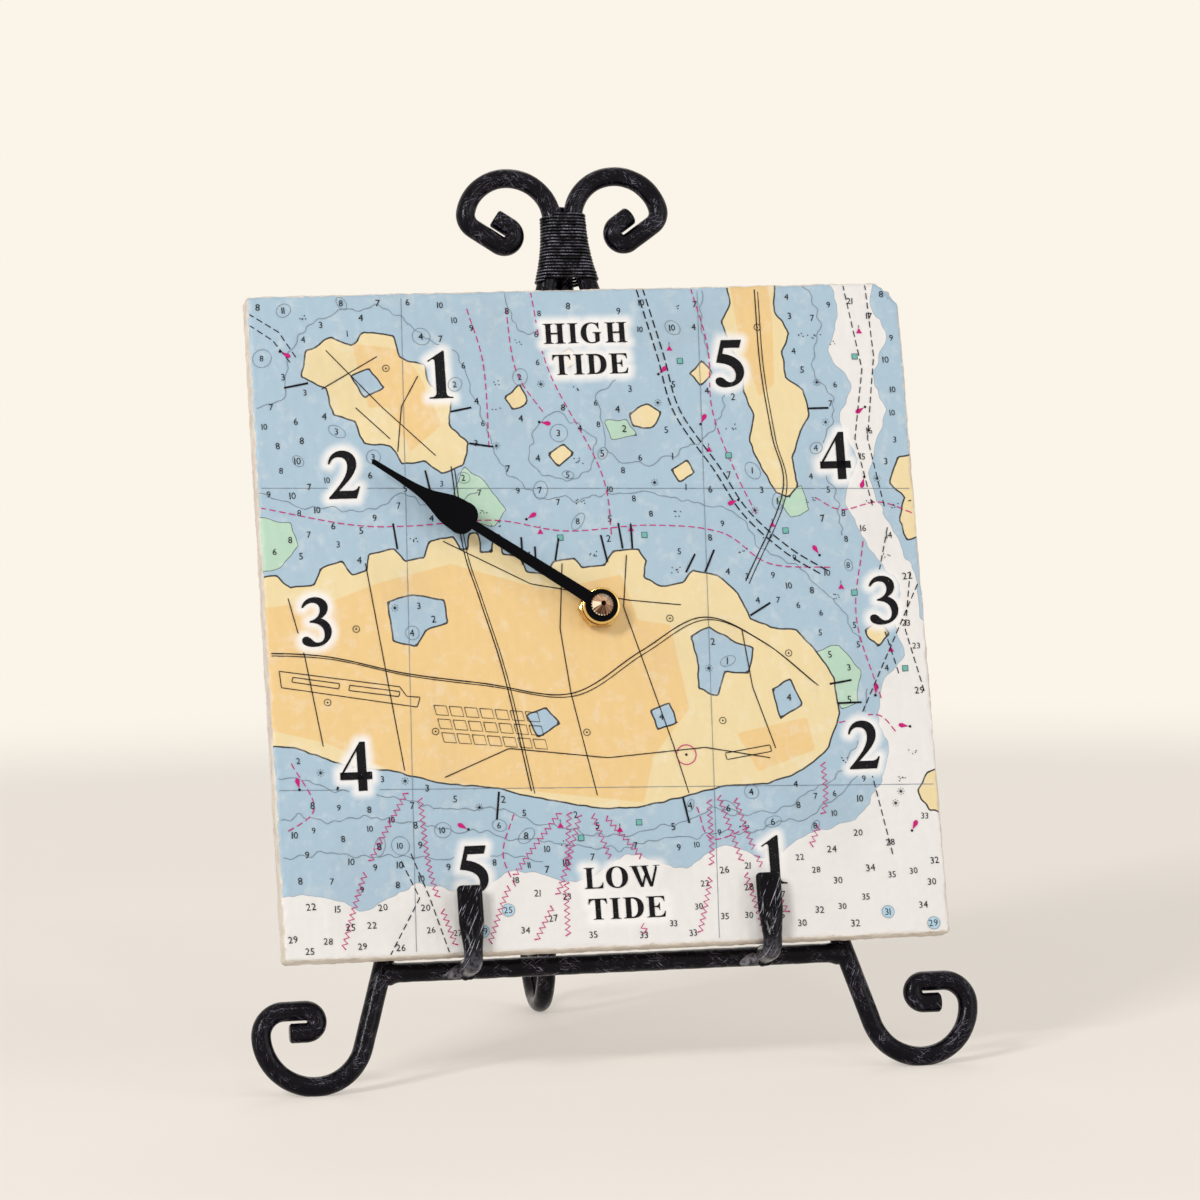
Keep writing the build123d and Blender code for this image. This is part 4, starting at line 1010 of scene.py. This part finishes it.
# piers as x, y, angle, length, and buoys as x, y, angle of the flare
PIERS = places_of(
    "-22,16,90,9 -18,14,90,8 -12,17,78,7 4,16,100,9 9,20,96,8 12,20,90,8 28,12,60,7 34,12,64,8 47,-2,30,8 "
    "72,-30,0,8 70,-24,8,7 -50,46,-80,8 -36,54,-10,8 -41,64,10,7 -84,74,190,8 -60,22,96,8 70,62,0,7 "
    "50,70,180,6 -80,-43,250,8 -34,-53,262,9 22,-57,280,8"
)
BUOYS = places_of(
    "24,74,40 36,58,60 46,34,200 70,16,120 -92,84,330 88,62,210 -20,30,30 84,-28,80 -44,-64,150 "
    "-94,-50,100 92,-70,60 -14,60,350 86,40,250 94,-38,170"
)
TANKS = places_of("-52,-34 -6,-36 -60,78 -4,4 36,-34 -84,-24 56,88 22,-2 -74,-2 58,-14")
RED_MARKS = places_of("28,82 38,50 56,26 76,6 -16,-64 2,-66 -16,26 88,86 90,-14 12,26")
GREEN_MARKS = places_of("31,78 44,48 60,24 80,4 -10,-68 8,-64 -10,24 86,78 94,-20 16,24")
BLOCK = places_of("0,0 3.7,-0.4 4.3,-3.3 0.6,-2.9 0,0")
AIRFIELD = [
    "-98,-14 -62,-20 -60,-23 -56,-23.4 -57,-26.4 -97.6,-19 -98,-14",
    "-94,-16 -80,-18.4 -80.4,-20 -94.4,-17.4 -94,-16", "-77,-19 -62,-21.5 -62.4,-23 -77.4,-20.6 -77,-19",
    "36,-44 50,-42 50.4,-44 36.4,-46 36,-44",
]
FLARE = places_of("0.4,0 2.6,0.75 3.4,0.45 3.6,0 3.4,-0.45 2.6,-0.75")
SQUARE = places_of("-0.85,-0.85 0.85,-0.85 0.85,0.85 -0.85,0.85")
TRIANGLE = places_of("-0.95,-0.7 0.95,-0.7 0,1")


# height over the face, piece, material, colour, wear
INKS = [
    (0.030, "print_lines", "line_ink", (20, 19, 26), 0.74),
    (0.022, "print_magenta", "magenta_ink", (192, 30, 118), 0.74),
    (0.014, "print_contours", "grey_ink", (118, 130, 144), 0.72),
    (0.010, "print_discs", "pale_ink", (174, 202, 218), 0.72),
    (0.026, "print_squares", "green_ink", (110, 176, 166), 0.72),
    (0.045, "print_numerals", "numeral_ink", (10, 9, 14), 0.71),
]


def draw_water(ink, magenta, grey, chance):
    """Graticule, depth contours, channels, limits and cables."""
    for place in GRATICULE:
        grey.ribbon(evenly([(place - 4, -100), (place + 4, 100)], 2.0), 0.16)
        grey.ribbon(evenly([(-100, place + 8), (100, place + 2)], 2.0), 0.16)
    for index, line in enumerate(CONTOURS):
        grey.ribbon(roughened(smooth_loop(places_of(line), 1.0), 1.0, 90 + index, False), 0.18)
    channel = smooth_loop(CHANNEL, 1.0)
    for side in (-1.0, 1.0):
        ink.dashes(channel + to_the_left(channel) * side, 0.42, 2.8, 0.9)
    for line in FAIRWAY_LINES:
        ink.dashes(places_of(line), 0.32, 2.4, 1.0)
    for line in LIMITS:
        magenta.dashes(smooth_loop(places_of(line), 0.8), 0.32, 2.2, 0.8)
    for line in CABLES:
        start, end = places_of(line)
        bend = (start + end) / 2 + [chance.uniform(-4, 4), 0]
        wave = zigzag(smooth_loop([start, bend, end], 0.8), 0.95, 1.5)
        cut = int(len(wave) * chance.uniform(0.45, 0.7))
        magenta.ribbon(wave[:cut], 0.4)
        magenta.ribbon(wave[cut + 3 :], 0.4)


def draw_land(ink):
    """Roads, streets, blocks of a town, an airstrip, tanks and piers."""
    for line in MAIN_ROADS:
        road = evenly(smooth_loop(places_of(line), 2.0), 1.0)
        ink.ribbon(road, 0.34)
        ink.ribbon(road + [1.0, -0.8], 0.26)
    for line in STREETS:
        ink.ribbon(evenly(places_of(line), 1.0), 0.3)
    for row in range(3):
        for column in range(7):
            ink.ribbon(BLOCK + (-52 + column * 4.6 + row * 0.9, -26 - row * 4.2 - column * 0.5), 0.2)
    for line in AIRFIELD:
        ink.ribbon(evenly(places_of(line), 0.5), 0.26)
    for tank in TANKS:
        ink.ring(tank, 1.0, 0.2)
        ink.disc(tank, 0.28, 8)
    for x, y, angle, length in PIERS:
        ink.ribbon(evenly([(x, y), plane(math.radians(angle)) * length + (x, y)], 0.5), 0.6)


def draw_marks(ink, magenta, green):
    """A marked circle, lit buoys, red cones and green squares."""
    magenta.ring((24, -44), 3.0, 0.28, 28)
    ink.disc((24, -44), 0.4, 10)
    for x, y, angle in BUOYS:
        magenta.polygon(rotated(FLARE, math.radians(angle)) + (x, y))
        ink.disc((x, y), 0.42, 10)
    for x, y in RED_MARKS:
        magenta.polygon(TRIANGLE + (x, y))
        ink.ribbon([(x, y + 1.0), (x, y + 1.9)], 0.18)
    for place in GREEN_MARKS:
        green.polygon(SQUARE + place)
        ink.ribbon(np.vstack([SQUARE, SQUARE[:1]]) + place, 0.2)


def scatter(ink, grey, pale, chance):
    """Rocks, piles and soundings, wherever they find room."""
    taken = [*TANKS, *BUOYS[:, :2], *RED_MARKS, *GREEN_MARKS]

    def free(place, gap):
        return (
            halo_field(place)[0] < -2.6
            and math.dist(place, HUB) > 9
            and max(map(abs, place)) < HALF - 3
            and all(math.dist(place, other) > gap for other in taken)
        )

    def near_shore(tries, farthest, nearest, gap):
        for _ in range(tries):
            place = chance.uniform(-96, 96), chance.uniform(-74, 96)
            if farthest < shore_field(place)[0] < nearest and free(place, gap):
                taken.append(place)
                yield place

    # rocks: a cross of strokes in a ring of dots
    for x, y in near_shore(110, -9, -1.6, 3.4):
        for angle in range(0, 360, 45):
            c, s = plane(math.radians(angle))
            ink.disc((x + c, y + s), 0.14, 6)
            ink.ribbon([(x, y), (x + 0.6 * c, y + 0.6 * s)], 0.15, 0.5)
    # small clusters of piles and wrecks' dotted lines
    for x, y in near_shore(60, -16, -2, 3.6):
        for _ in range(chance.randint(3, 7)):
            ink.disc((x + chance.uniform(-1.6, 1.6), y + chance.uniform(-0.9, 0.9)), 0.2, 7)
    # soundings, deeper away from the shore
    for _ in range(2600):
        place = chance.uniform(-99, 99), chance.uniform(-99, 99)
        shore, off_deep = shore_field(place)[0], deep_field(place)[0]
        if shore > -2.2 or abs(off_deep) < 1.4 or not free(place, 5.6 if off_deep < 0 else 6.0):
            continue
        taken.append(place)
        if off_deep > 0:
            value = int(13 + min(off_deep, 16) + chance.uniform(0, 7))
            if chance.random() < 0.10:
                pale.disc(place, 1.9, 22)
                grey.ring(place, 1.9, 0.14, 24)
        else:
            value = max(1, int(min(-shore, 14) * 0.55 + chance.uniform(0, 3.4)))
            if chance.random() < 0.16:
                size, squash, turn = chance.uniform(1.8, 3.0), chance.uniform(0.5, 1), chance.uniform(0, 3)
                grey.ring(place, size, 0.15, 22, squash, turn)
        ink.text(str(value), chance.uniform(1.8, 2.15), place, chance.uniform(-0.08, 0.08))


def chart_prints():
    """All the chart's marks, one piece for each ink."""
    chance = random.Random(4)
    prints = [Print(height) for height, *_ in INKS]
    line, magenta, grey, pale, green, numerals = prints
    draw_water(line, magenta, grey, chance)
    draw_land(line)
    draw_marks(line, magenta, green)
    scatter(line, grey, pale, chance)
    for loop in letter_loops:
        numerals.polygon(loop)
    for sheet, (_, name, *look) in zip(prints, INKS):
        sheet.finish(name, ink(*look))


# Rods swept along plane paths

LINE_STEP = 1.2
ARC_STEP = 0.6
CHAMFER = 0.5
CHAMFER_DROP = 0.45


def travel(start, heading, moves):
    """Places and headings along lines (length,) and arcs (radius, turn in degrees)."""
    place = np.array(start, float)
    angle = math.radians(heading)
    places, angles = [place], [angle]
    for size, *turns in moves:
        turn = math.radians(sum(turns))
        count = max(3, int(abs(turn) * (size + ROD) / ARC_STEP)) if turns else max(2, int(size / LINE_STEP))
        side = math.copysign(size, turn)
        for _ in range(count):
            if turns:
                centre = place + side * plane(angle + TURN / 4)
                angle += turn / count
                place = centre - side * plane(angle + TURN / 4)
            else:
                place = place + size / count * plane(angle)
            places.append(place)
            angles.append(angle)
    return np.array(places), np.array(angles)


def tube(name, centres, tangents, side, radius, material, seed, rough=0.05, sides=32):
    """A round bar along centres; side is one direction across it at every centre."""
    side = np.broadcast_to(side, centres.shape)
    radius = np.broadcast_to(radius, len(centres))
    rows = (centres, tangents, side, unit(np.cross(tangents, side)), lengths_along(centres), radius)
    # both end rings are doubled, for a small chamfer
    order = [0, *range(len(centres)), len(centres) - 1]
    centres, tangents, side, third, lengths, radius = (row[order] for row in rows)
    centres[1] = centres[0] + tangents[0] * CHAMFER * MM
    centres[-2] = centres[-1] - tangents[-1] * CHAMFER * MM
    radius[[0, -1]] -= CHAMFER_DROP
    c, s = circle(sides)
    along = lengths[:, None] / MM
    dent = wave_noise(along, s * 4 + c * 3, seed, 7.0)
    dent += 0.5 * wave_noise(along, s * 6 - c * 5, seed + 1, 2.6)
    reach = (radius[:, None] + rough * 0.6 * (np.clip(dent, -1.5, 1) - 1)) * MM
    points = (
        centres[:, None] + side[:, None] * (c * reach)[..., None] + third[:, None] * (s * reach)[..., None]
    )
    points[..., 2] = np.maximum(points[..., 2], 0.0)
    count = len(centres)
    faces = ring_faces(count, sides) + end_caps(count, sides)
    thing = piece(name, points.reshape(-1, 3), faces, "easel", material)
    # the texture's places: length along the bar, then length round it
    values = []
    for polygon in thing.data.polygons:
        columns = [corner % sides for corner in polygon.vertices]
        wraps = max(columns) - min(columns) > 1 and len(columns) == 4
        for corner, column in zip(polygon.vertices, columns):
            if wraps and column == 0:
                column = sides
            values += [lengths[corner // sides], column / sides * TURN * ROD * MM]
    thing.data.uv_layers.new(name="along").data.foreach_set("uv", values)
    return thing


def rod_point(places):
    """Row-frame points of places in the front rods' plane."""
    return on_dial(places, -ROD_BACK)


def leg_u(w):
    """How far a front leg stands from the middle at height w."""
    splay = math.radians(SPLAY)
    if w >= SCROLL_W:
        return ROD_MIDDLE
    if w >= KNEE_W:
        return ROD_MIDDLE + KNEE_RADIUS - math.sqrt(KNEE_RADIUS**2 - (SCROLL_W - w) ** 2)
    return ROD_MIDDLE + KNEE_RADIUS * (1 - math.cos(splay)) + (KNEE_W - w) * math.tan(splay)


def run_to_foot(height, splay):
    """Length of a straight leg that falls this far from its bend to the middle of its foot."""
    splay = math.radians(splay)
    return (height - FOOT_RADIUS * (1 - math.sin(splay))) / math.cos(splay)


def front_leg(side, material, seed):
    """A front leg from the tip of its top scroll to the tip of its foot."""
    knee = [(KNEE_RADIUS, SPLAY), (run_to_foot(KNEE_W - FOOT_W, SPLAY),), (FOOT_RADIUS, 180 - SPLAY)]
    top, top_angles = travel((ROD_MIDDLE, SCROLL_W), 90, TOP_MOVES)
    low, low_angles = travel((ROD_MIDDLE, SCROLL_W), -90, knee + FOOT_MOVES)
    places = np.vstack([top[::-1], low[1:]])
    places[:, 0] *= side
    angles = np.concatenate([top_angles[::-1] + math.pi, low_angles[1:]])
    tangents = (np.cos(angles) * side)[:, None] * SIDEWAYS + np.sin(angles)[:, None] * UPSLOPE
    name = "right_leg" if side > 0 else "left_leg"
    thing = tube(name + "_rod", rod_point(places), tangents, FORWARD, ROD, material, seed)
    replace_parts(thing, name)


def rear_leg(material):
    """The rear leg, in the middle plane."""
    origin = rod_point([(0, 0)])[0] - FORWARD * REAR_OFFSET * MM
    start, bend = (origin + UPSLOPE * w * MM for w in (REAR_TOP_W, REAR_BEND_W))
    turned_in = REAR_BEND_RADIUS * (math.sin(LEAN) + math.sin(math.radians(REAR_SPLAY)))
    run = run_to_foot(bend[2] / MM - turned_in - (ROD - FOOT_FLAT), REAR_SPLAY)
    lean = math.degrees(LEAN)
    bends = [
        (REAR_TOP_W - REAR_BEND_W,), (REAR_BEND_RADIUS, lean + REAR_SPLAY), (run,),
        (FOOT_RADIUS, 180 - REAR_SPLAY),
    ]
    places, angles = travel(start[1:] / MM, -90 - lean, bends + FOOT_MOVES)
    centres = np.column_stack([np.zeros(len(places)), places * MM])
    tangents = np.column_stack([np.zeros(len(angles)), np.cos(angles), np.sin(angles)])
    thing = tube("rear_leg_rod", centres, tangents, SIDEWAYS, ROD, material, 31)
    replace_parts(thing, "rear_leg")


def cross_bar(material):
    """The bar between the legs, swelling into its welds."""
    half = leg_u(BAR_W)
    end = np.linspace(half - 8, half, 20)
    x = np.concatenate([-end[::-1], np.linspace(8.8 - half, half - 8.8, 150), end])
    swell = np.exp(-((np.clip(half - np.abs(x) - 2.6, 0, None) / 1.5) ** 2))
    centres = rod_point(np.column_stack([x, np.full(len(x), BAR_W)]))
    tangents = np.tile(SIDEWAYS, (len(x), 1))
    thing = tube(
        "cross_bar_rod", centres, tangents, UPSLOPE, ROD + 0.75 * swell, material, 51, 0.09
    )
    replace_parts(thing, "cross_bar")


def weld(name, middle, radius, material, seed):
    """A lumpy ring of weld round a hook, thin at its top, at a row-frame point."""
    chance = np.random.default_rng(seed)
    one = unit(np.cross(FORWARD, SIDEWAYS))
    two = np.cross(FORWARD, one)
    rings, sides = 40, 12
    points = []
    for i in range(rings):
        c, s = plane(TURN * i / rings)
        out = one * c + two * s
        fat = 0.75 + 0.16 * math.sin(7 * TURN * i / rings + chance.random()) + 0.1 * chance.random()
        if out @ UPSLOPE > 0.35:
            fat *= 0.35
        for x, y in zip(*circle(sides)):
            points.append(middle + (out * (radius + fat * 0.8 * x) + FORWARD * fat * 1.5 * y) * MM)
    faces = [face[::-1] for face in ring_faces(rings, sides, closed=True)]
    piece(name, points, faces, "easel", material)


def smear(name, middle, material, seed):
    """A puddle of brazing drawn out to the left along the bar, at a row-frame point."""
    chance = np.random.default_rng(seed)
    rows, sides = 20, 28
    points = []
    for a in np.linspace(0.12, math.pi - 0.12, rows):
        for j in range(sides):
            b = TURN * j / sides
            along, up, out = -math.cos(a), math.sin(a) * math.cos(b), math.sin(a) * math.sin(b)
            lump = 1 + 0.10 * math.sin(3 * b + 4 * a + seed) + 0.06 * chance.random()
            place = SIDEWAYS * 4.6 * along + UPSLOPE * (1.9 * up + 1.0 * along) + FORWARD * 1.5 * out
            points.append(middle + place * lump * MM)
    faces = ring_faces(rows, sides) + end_caps(rows, sides)
    piece(name, points, faces, "easel", material)


def wire_binding(material):
    """One wire wound side by side round the three rods."""
    chance = np.random.default_rng(7)
    per_turn = 72
    centres = []
    reach = ROD + WIRE + 0.02
    for turn in range(BINDING_TURNS):
        ring = []
        for share in np.arange(per_turn) / per_turn:
            half = leg_u(BINDING_TOP - (turn + share) * BINDING_PITCH)
            normal = plane(math.radians(100) - TURN * share)
            rods = np.array([(half, 0.0), (-half, 0.0), (0.0, -REAR_OFFSET)])
            ring.append(rods[np.argmax(rods @ normal)] + normal * reach)
        lengths = lengths_along(np.array(ring + ring[:1]))
        sag = chance.normal() * 0.07
        loose = max(0.0, chance.normal() * 0.07)
        for place, part in zip(ring, lengths[:-1] / lengths[-1]):
            w = BINDING_TOP - (turn + part) * BINDING_PITCH + sag * math.sin(math.pi * part)
            u, v = place * (1 + loose * math.sin(math.pi * part) ** 2 / reach)
            centres.append(rod_point([(u, w)])[0] + FORWARD * v * MM)
    centres = np.array(centres)
    tangents = unit(np.gradient(centres, axis=0))
    side = unit(UPSLOPE - tangents * (tangents @ UPSLOPE)[:, None])
    thing = tube("binding_wire", centres, tangents, side, WIRE, material, 91, 0.03, 12)
    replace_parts(thing, "wire_binding")


# Turned parts on the hand's axis

COLLET = [(1.66, 5.40), (5.45, 5.40), (5.68, 5.50), (5.72, 5.72), (5.62, 5.95), (5.40, 6.03), (1.66, 6.03)]
TURNED_SIDES = 96
KNURLED = 3.43 - np.where(np.arange(TURNED_SIDES) % 4, 0.0, 0.22)
CAP_NUT = [
    (1.30, 6.56), (3.25, 6.56), (KNURLED, 6.72), (KNURLED, 7.62), (3.12, 7.86), (2.2, 8.75),
    (0.80, 9.88), (0.62, 9.93), (0.46, 9.70), (0.02, 9.30), (0.02, 8.60), (1.30, 8.60),
]
CONE_RINGS = (4, 5)
DIMPLE_SHADE_RINGS = (6, 7, 8)


def turned(name, profile, material, smooth=True):
    """A solid of revolution from (radius, height) pairs, closed along its profile."""
    round_it = np.stack(circle(TURNED_SIDES), axis=1)
    points = [on_dial(round_it * np.reshape(radius, (-1, 1)) + HUB, height) for radius, height in profile]
    faces = ring_faces(len(profile), TURNED_SIDES, True)
    return piece(name, np.vstack(points), faces, "tide_hand", material, smooth)


def turned_parts(plain, painted_light_brass):
    """The collet's disc behind the hand, and the knurled cap nut with painted light and shade on its cut
    faces.
    """
    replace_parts(turned("collet_disc", COLLET, plain), "hand_collet")
    chance = random.Random(12)
    painted_tones = []
    # painted light on the cone's cut faces: brightness set by direction round the axis, with random spread,
    # and a painted highlight on every face between 158 and 205 degrees
    for j in range(TURNED_SIDES // 2):
        angle = 360 * (j + 0.5) / (TURNED_SIDES // 2)
        lit = 0.34 + 0.22 * math.cos(math.radians(angle - 75)) + 0.34 * chance.random()
        painted_tones.append(1.0 if 158 < angle < 205 else min(1.0, lit))

    def tone(ring, j):
        if ring in CONE_RINGS:
            return painted_tones[j // 2]
        # painted shade: the dimple at the tip is painted darkest
        if ring in DIMPLE_SHADE_RINGS:
            return 0.0
        # painted highlight round the knurled rim, brightest towards 235 degrees, and painted shade on the
        # faces beside each knurl groove
        brightening = math.cos(TURN * j / TURNED_SIDES - math.radians(235))
        return 0.05 if j % 4 in (0, 3) else 0.35 + 0.6 * max(0.0, brightening)

    nut = turned("cap_nut_cut", CAP_NUT, painted_light_brass, False)
    painted_facets = [tone(ring, j) for ring in range(len(CAP_NUT)) for j in range(TURNED_SIDES)]
    nut.data.attributes.new("painted_facet_light", "FLOAT", "FACE").data.foreach_set("value", painted_facets)
    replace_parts(nut, "cap_nut")


# Camera, stage and light

def camera():
    """The photograph's view: fitted focal length, direction, roll and distance."""
    azimuth, elevation, roll = (math.radians(value) for value in (11.08, 4.75, -1.0))
    right, up, away = -0.56, -4.29, 1641.82
    focal_pixels, photo_pixels = 5433, 1200
    data = bpy.data.cameras.new("camera")
    data.sensor_width = 36.0
    data.lens = data.sensor_width * focal_pixels / photo_pixels
    data.clip_start = 0.05
    thing = placed("camera", data)
    thing.matrix_world = Matrix.Translation(FACE)
    for angle, axis in ((-azimuth, "Z"), (TURN / 4 - elevation, "X"), (roll, "Z")):
        thing.matrix_world @= Matrix.Rotation(angle, 4, axis)
    thing.matrix_world @= Matrix.Translation(Vector((-right, -up, away)) * MM)
    bpy.context.scene.camera = thing


WALL = (251, 244, 233)
FLOOR_REACH = 8.0


def stage():
    """A pale floor that fades into the backdrop's colour all round."""
    look = Look("floor", Roughness=0.9, Specular_IOR_Level=0.1)
    look.surface(look.mix(look.fade(look.noise(3, 3), 0.3, 0.7), (250, 243, 234), (246, 239, 230)))
    away = look.node("VectorMath", {0: look.coords()}, operation="LENGTH").outputs["Value"]
    glow = look.node("Emission", {"Color": look.mix(look.fade(away, 0.5, 1.05), (246, 238, 228), WALL)})
    blend = look.node("MixShader", {
        0: look.most(look.fade(away, 0.52, 1.06), 0.42), 1: look.shader.outputs[0], 2: glow.outputs[0],
    })
    look.put(look.tree.nodes["Material Output"].inputs["Surface"], blend.outputs[0])
    mesh = bpy.data.meshes.new("floor")
    corners = [(x * FLOOR_REACH, y * FLOOR_REACH, 0) for x, y in ((-1, -1), (1, -1), (1, 1), (-1, 1))]
    mesh.from_pydata(corners, [], [(0, 1, 2, 3)])
    mesh.materials.append(look.material)
    floor = placed("floor", mesh)

    world = bpy.data.worlds.new("studio")
    bpy.context.scene.world = world
    world.use_nodes = True
    sky = Nodes(world.node_tree)
    seen = sky.tree.nodes["Background"]
    sky.put(seen.inputs["Color"], WALL)
    sky.put(seen.inputs["Strength"], 1.0)
    lit = sky.node("Background", {"Color": (1.0, 0.99, 0.98, 1), "Strength": 0.43})
    path = sky.node("LightPath").outputs
    chosen = sky.most(*(path[f"Is {kind} Ray"] for kind in ("Camera", "Glossy", "Transmission")))
    mix = sky.node("MixShader", {0: chosen, 1: lit.outputs[0], 2: seen.outputs[0]})
    sky.put(sky.tree.nodes["World Output"].inputs["Surface"], mix.outputs[0])


def lamp(name, place, size, power, colour=(1, 1, 1)):
    """A square lamp, turned to the middle of the clock."""
    data = bpy.data.lights.new(name, "AREA")
    data.shape = "RECTANGLE"
    data.size = data.size_y = size
    data.energy = power
    data.color = colour
    thing = placed(name, data)
    thing.location = place
    thing.rotation_euler = (Vector((0, 0, 0.13)) - Vector(place)).to_track_quat("-Z", "Y").to_euler()


# Assembly

def dress(material, *nodes):
    """Gives CAD nodes a material."""
    for node in nodes:
        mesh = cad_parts[node].data
        mesh.materials.clear()
        mesh.materials.append(material)


camera()
stage()
lamp("key", (-1.5, -1.6, 1.5), 0.5, 24, (1, 0.99, 0.985))
lamp("fill", (1.6, -1.4, 0.8), 1.4, 10, (0.97, 0.985, 1))
lamp("back", (0.4, 1.6, 1.6), 1.2, 6)
lamp("glint", (-1.7, -1.5, 1.1), 0.10, 8)
lamp("glint_front", (0.1, -2.0, 1.7), 0.16, 3)

iron = forged_iron()
brazed = brazed_iron()
bright_brass = brass()
turned_parts(bright_brass, brass(painted_facets=True))
stone_tile(printed_stone())
chart_prints()
front_leg(-1, iron, 11)
front_leg(1, iron, 21)
rear_leg(iron)
cross_bar(iron)
wire_binding(binding_iron())
for side, name in ((-1, "left"), (1, "right")):
    place = rod_point([(side * HOOK_U, BAR_W)])[0]
    weld(name + "_hook_weld", place + FORWARD * 2.2 * MM, 2.9, iron, 61 + side)
    low_left = place + (FORWARD * 2.4 - SIDEWAYS * 2.6 - UPSLOPE * 0.9) * MM
    smear(name + "_hook_braze", low_left, brazed, 71 + side)

dress(hook_iron(), "left_hook", "right_hook")
dress(bright_brass, "hex_nut", "brass_washer", "mounting_bushing", "tide_wheel", "cannon_pinion")
dress(winding_copper(), "motor_coil")
for name, colour, rough, grain, bump, shader, nodes in (
    ("hand_lacquer", (4, 4, 7), 0.5, 2400, 0.15, {"Specular_IOR_Level": 0.04}, "tide_hand"),
    ("case_plastic", (22, 22, 24), 0.5, 1500, 0.35, {"Specular_IOR_Level": 0.3}, "front_case rear_cover"),
    ("gear_plastic", (228, 224, 208), 0.42, 900, 0.15, {},
     "minute_wheel centre_wheel third_wheel seconds_wheel intermediate_wheel middle_plate"),
    ("knob_plastic", (40, 40, 43), 0.45, 1500, 0.3, {}, "set_knob"),
    ("gasket_rubber", (24, 24, 25), 0.75, 800, 0.4, {}, "case_gasket"),
    ("magnet", (70, 70, 74), 0.5, 1200, 0.3, {"Metallic": 0.6}, "rotor"),
    ("stator_steel", (168, 170, 176), 0.32, 2000, 0.2, {"Metallic": 1.0}, "stator coil_core"),
    ("circuit_green", (38, 104, 62), 0.38, 1800, 0.2, {}, "circuit_board"),
    ("nickel", (196, 198, 202), 0.28, 2600, 0.15, {"Metallic": 1.0},
     "quartz_crystal positive_contact negative_contact"),
    ("battery_sleeve", (52, 60, 74), 0.3, 1500, 0.1, {}, "battery"),
):
    dress(moulded(name, colour, rough, grain, bump, **shader), *nodes.split())

bpy.context.scene.view_settings.view_transform = "Standard"
